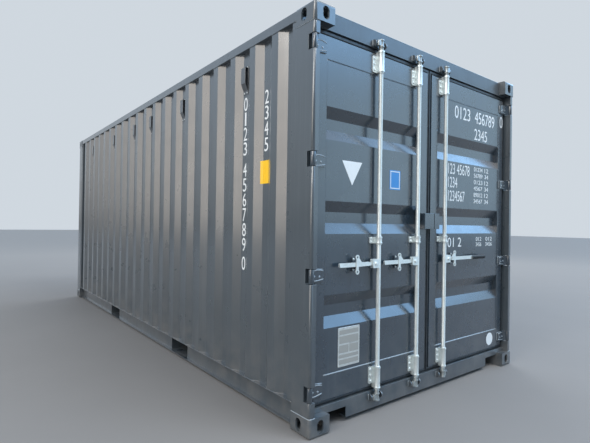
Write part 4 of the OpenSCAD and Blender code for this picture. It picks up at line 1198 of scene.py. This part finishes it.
class CONTAINER_OT_paint_digits(bpy.types.Operator):
    """Stencils plain digits on the right door and the left side"""

    bl_idname = "container.paint_digits"
    bl_label = "Digits"

    def execute(self, context):
        stencil("door_digits", door_rows(), "door_right")
        rows = []
        for text, top in (("0123", 2.204), ("456789", 1.718), ("0", 1.030)):
            rows += side_column(text, top, 8, 0.098, 0.024)
        rows += side_column("2345", 2.203, 9, 0.095, 0.022)
        stencil("side_digits", rows, "container")
        return {"FINISHED"}


class CONTAINER_OT_fit_floor_screws(bpy.types.Operator):
    """Sets the floor screws and the steel strips between the boards"""

    bl_idname = "container.fit_floor_screws"
    bl_label = "Floor screws and strips"

    def execute(self, context):
        top = FLOOR_HIGH.z
        lines, screws, pitch = 16, 9, 0.275
        head = ((0.006, -0.001), (0.006, 0.0004), (0.0045, 0.0010))
        bm = bmesh.new()
        for j in range(lines):
            y = FLOOR_LOW.y + 0.06 + (FLOOR_HIGH.y - FLOOR_LOW.y - 0.12) * j / (lines - 1)
            for i in range(screws):
                x = (i - screws // 2) * pitch
                add_rings(bm, (x, y, top), UP, head, 10)
        make_piece("floor_screws", bm, "galvanised", "container")
        half = 0.02
        bm = bmesh.new()
        for x in (-0.575, 0.0, 0.575):
            outline = rectangle(x - half, x + half, FLOOR_LOW.y, FLOOR_HIGH.y)
            add_plate(bm, outline, (0, 0, top), RIGHT, INWARD, 0.0012)
        make_piece("floor_strips", bm, "box_paint", "container")
        return {"FINISHED"}


OPERATORS = (
    CONTAINER_OT_set_stage, CONTAINER_OT_paint_frame, CONTAINER_OT_fit_bolts, CONTAINER_OT_fit_collars,
    CONTAINER_OT_fit_grip, CONTAINER_OT_fit_seals, CONTAINER_OT_lay_welds, CONTAINER_OT_fit_rivets,
    CONTAINER_OT_fit_plates, CONTAINER_OT_paint_digits, CONTAINER_OT_fit_floor_screws,
)


class CONTAINER_PT_dressing(bpy.types.Panel):
    """Lists the sizes, the colours and the steps"""

    bl_label = "Freight container"
    bl_idname = "CONTAINER_PT_dressing"
    bl_space_type = "VIEW_3D"
    bl_region_type = "UI"
    bl_category = "Container"

    def draw(self, context):
        for group in (context.scene.container_sizes, context.scene.container_colours):
            box = self.layout.box()
            for key in group.bl_rna.properties.keys():
                if key not in ("rna_type", "name"):
                    box.prop(group, key)
        for operator in OPERATORS:
            self.layout.operator(operator.bl_idname)


CLASSES = (ContainerColours, ContainerSizes, *OPERATORS, CONTAINER_PT_dressing)


def register():
    """Adds the classes and the settings to Blender"""
    for cls in CLASSES:
        bpy.utils.register_class(cls)
    bpy.types.Scene.container_colours = bpy.props.PointerProperty(type=ContainerColours)
    bpy.types.Scene.container_sizes = bpy.props.PointerProperty(type=ContainerSizes)


def unregister():
    """Takes them out again"""
    del bpy.types.Scene.container_sizes
    del bpy.types.Scene.container_colours
    for cls in reversed(CLASSES):
        bpy.utils.unregister_class(cls)


def main():
    """Registers the classes and settings, then runs every step"""
    register()
    for operator in OPERATORS:
        group, name = operator.bl_idname.split(".")
        getattr(getattr(bpy.ops, group), name)()


if __name__ == "__main__":
    main()
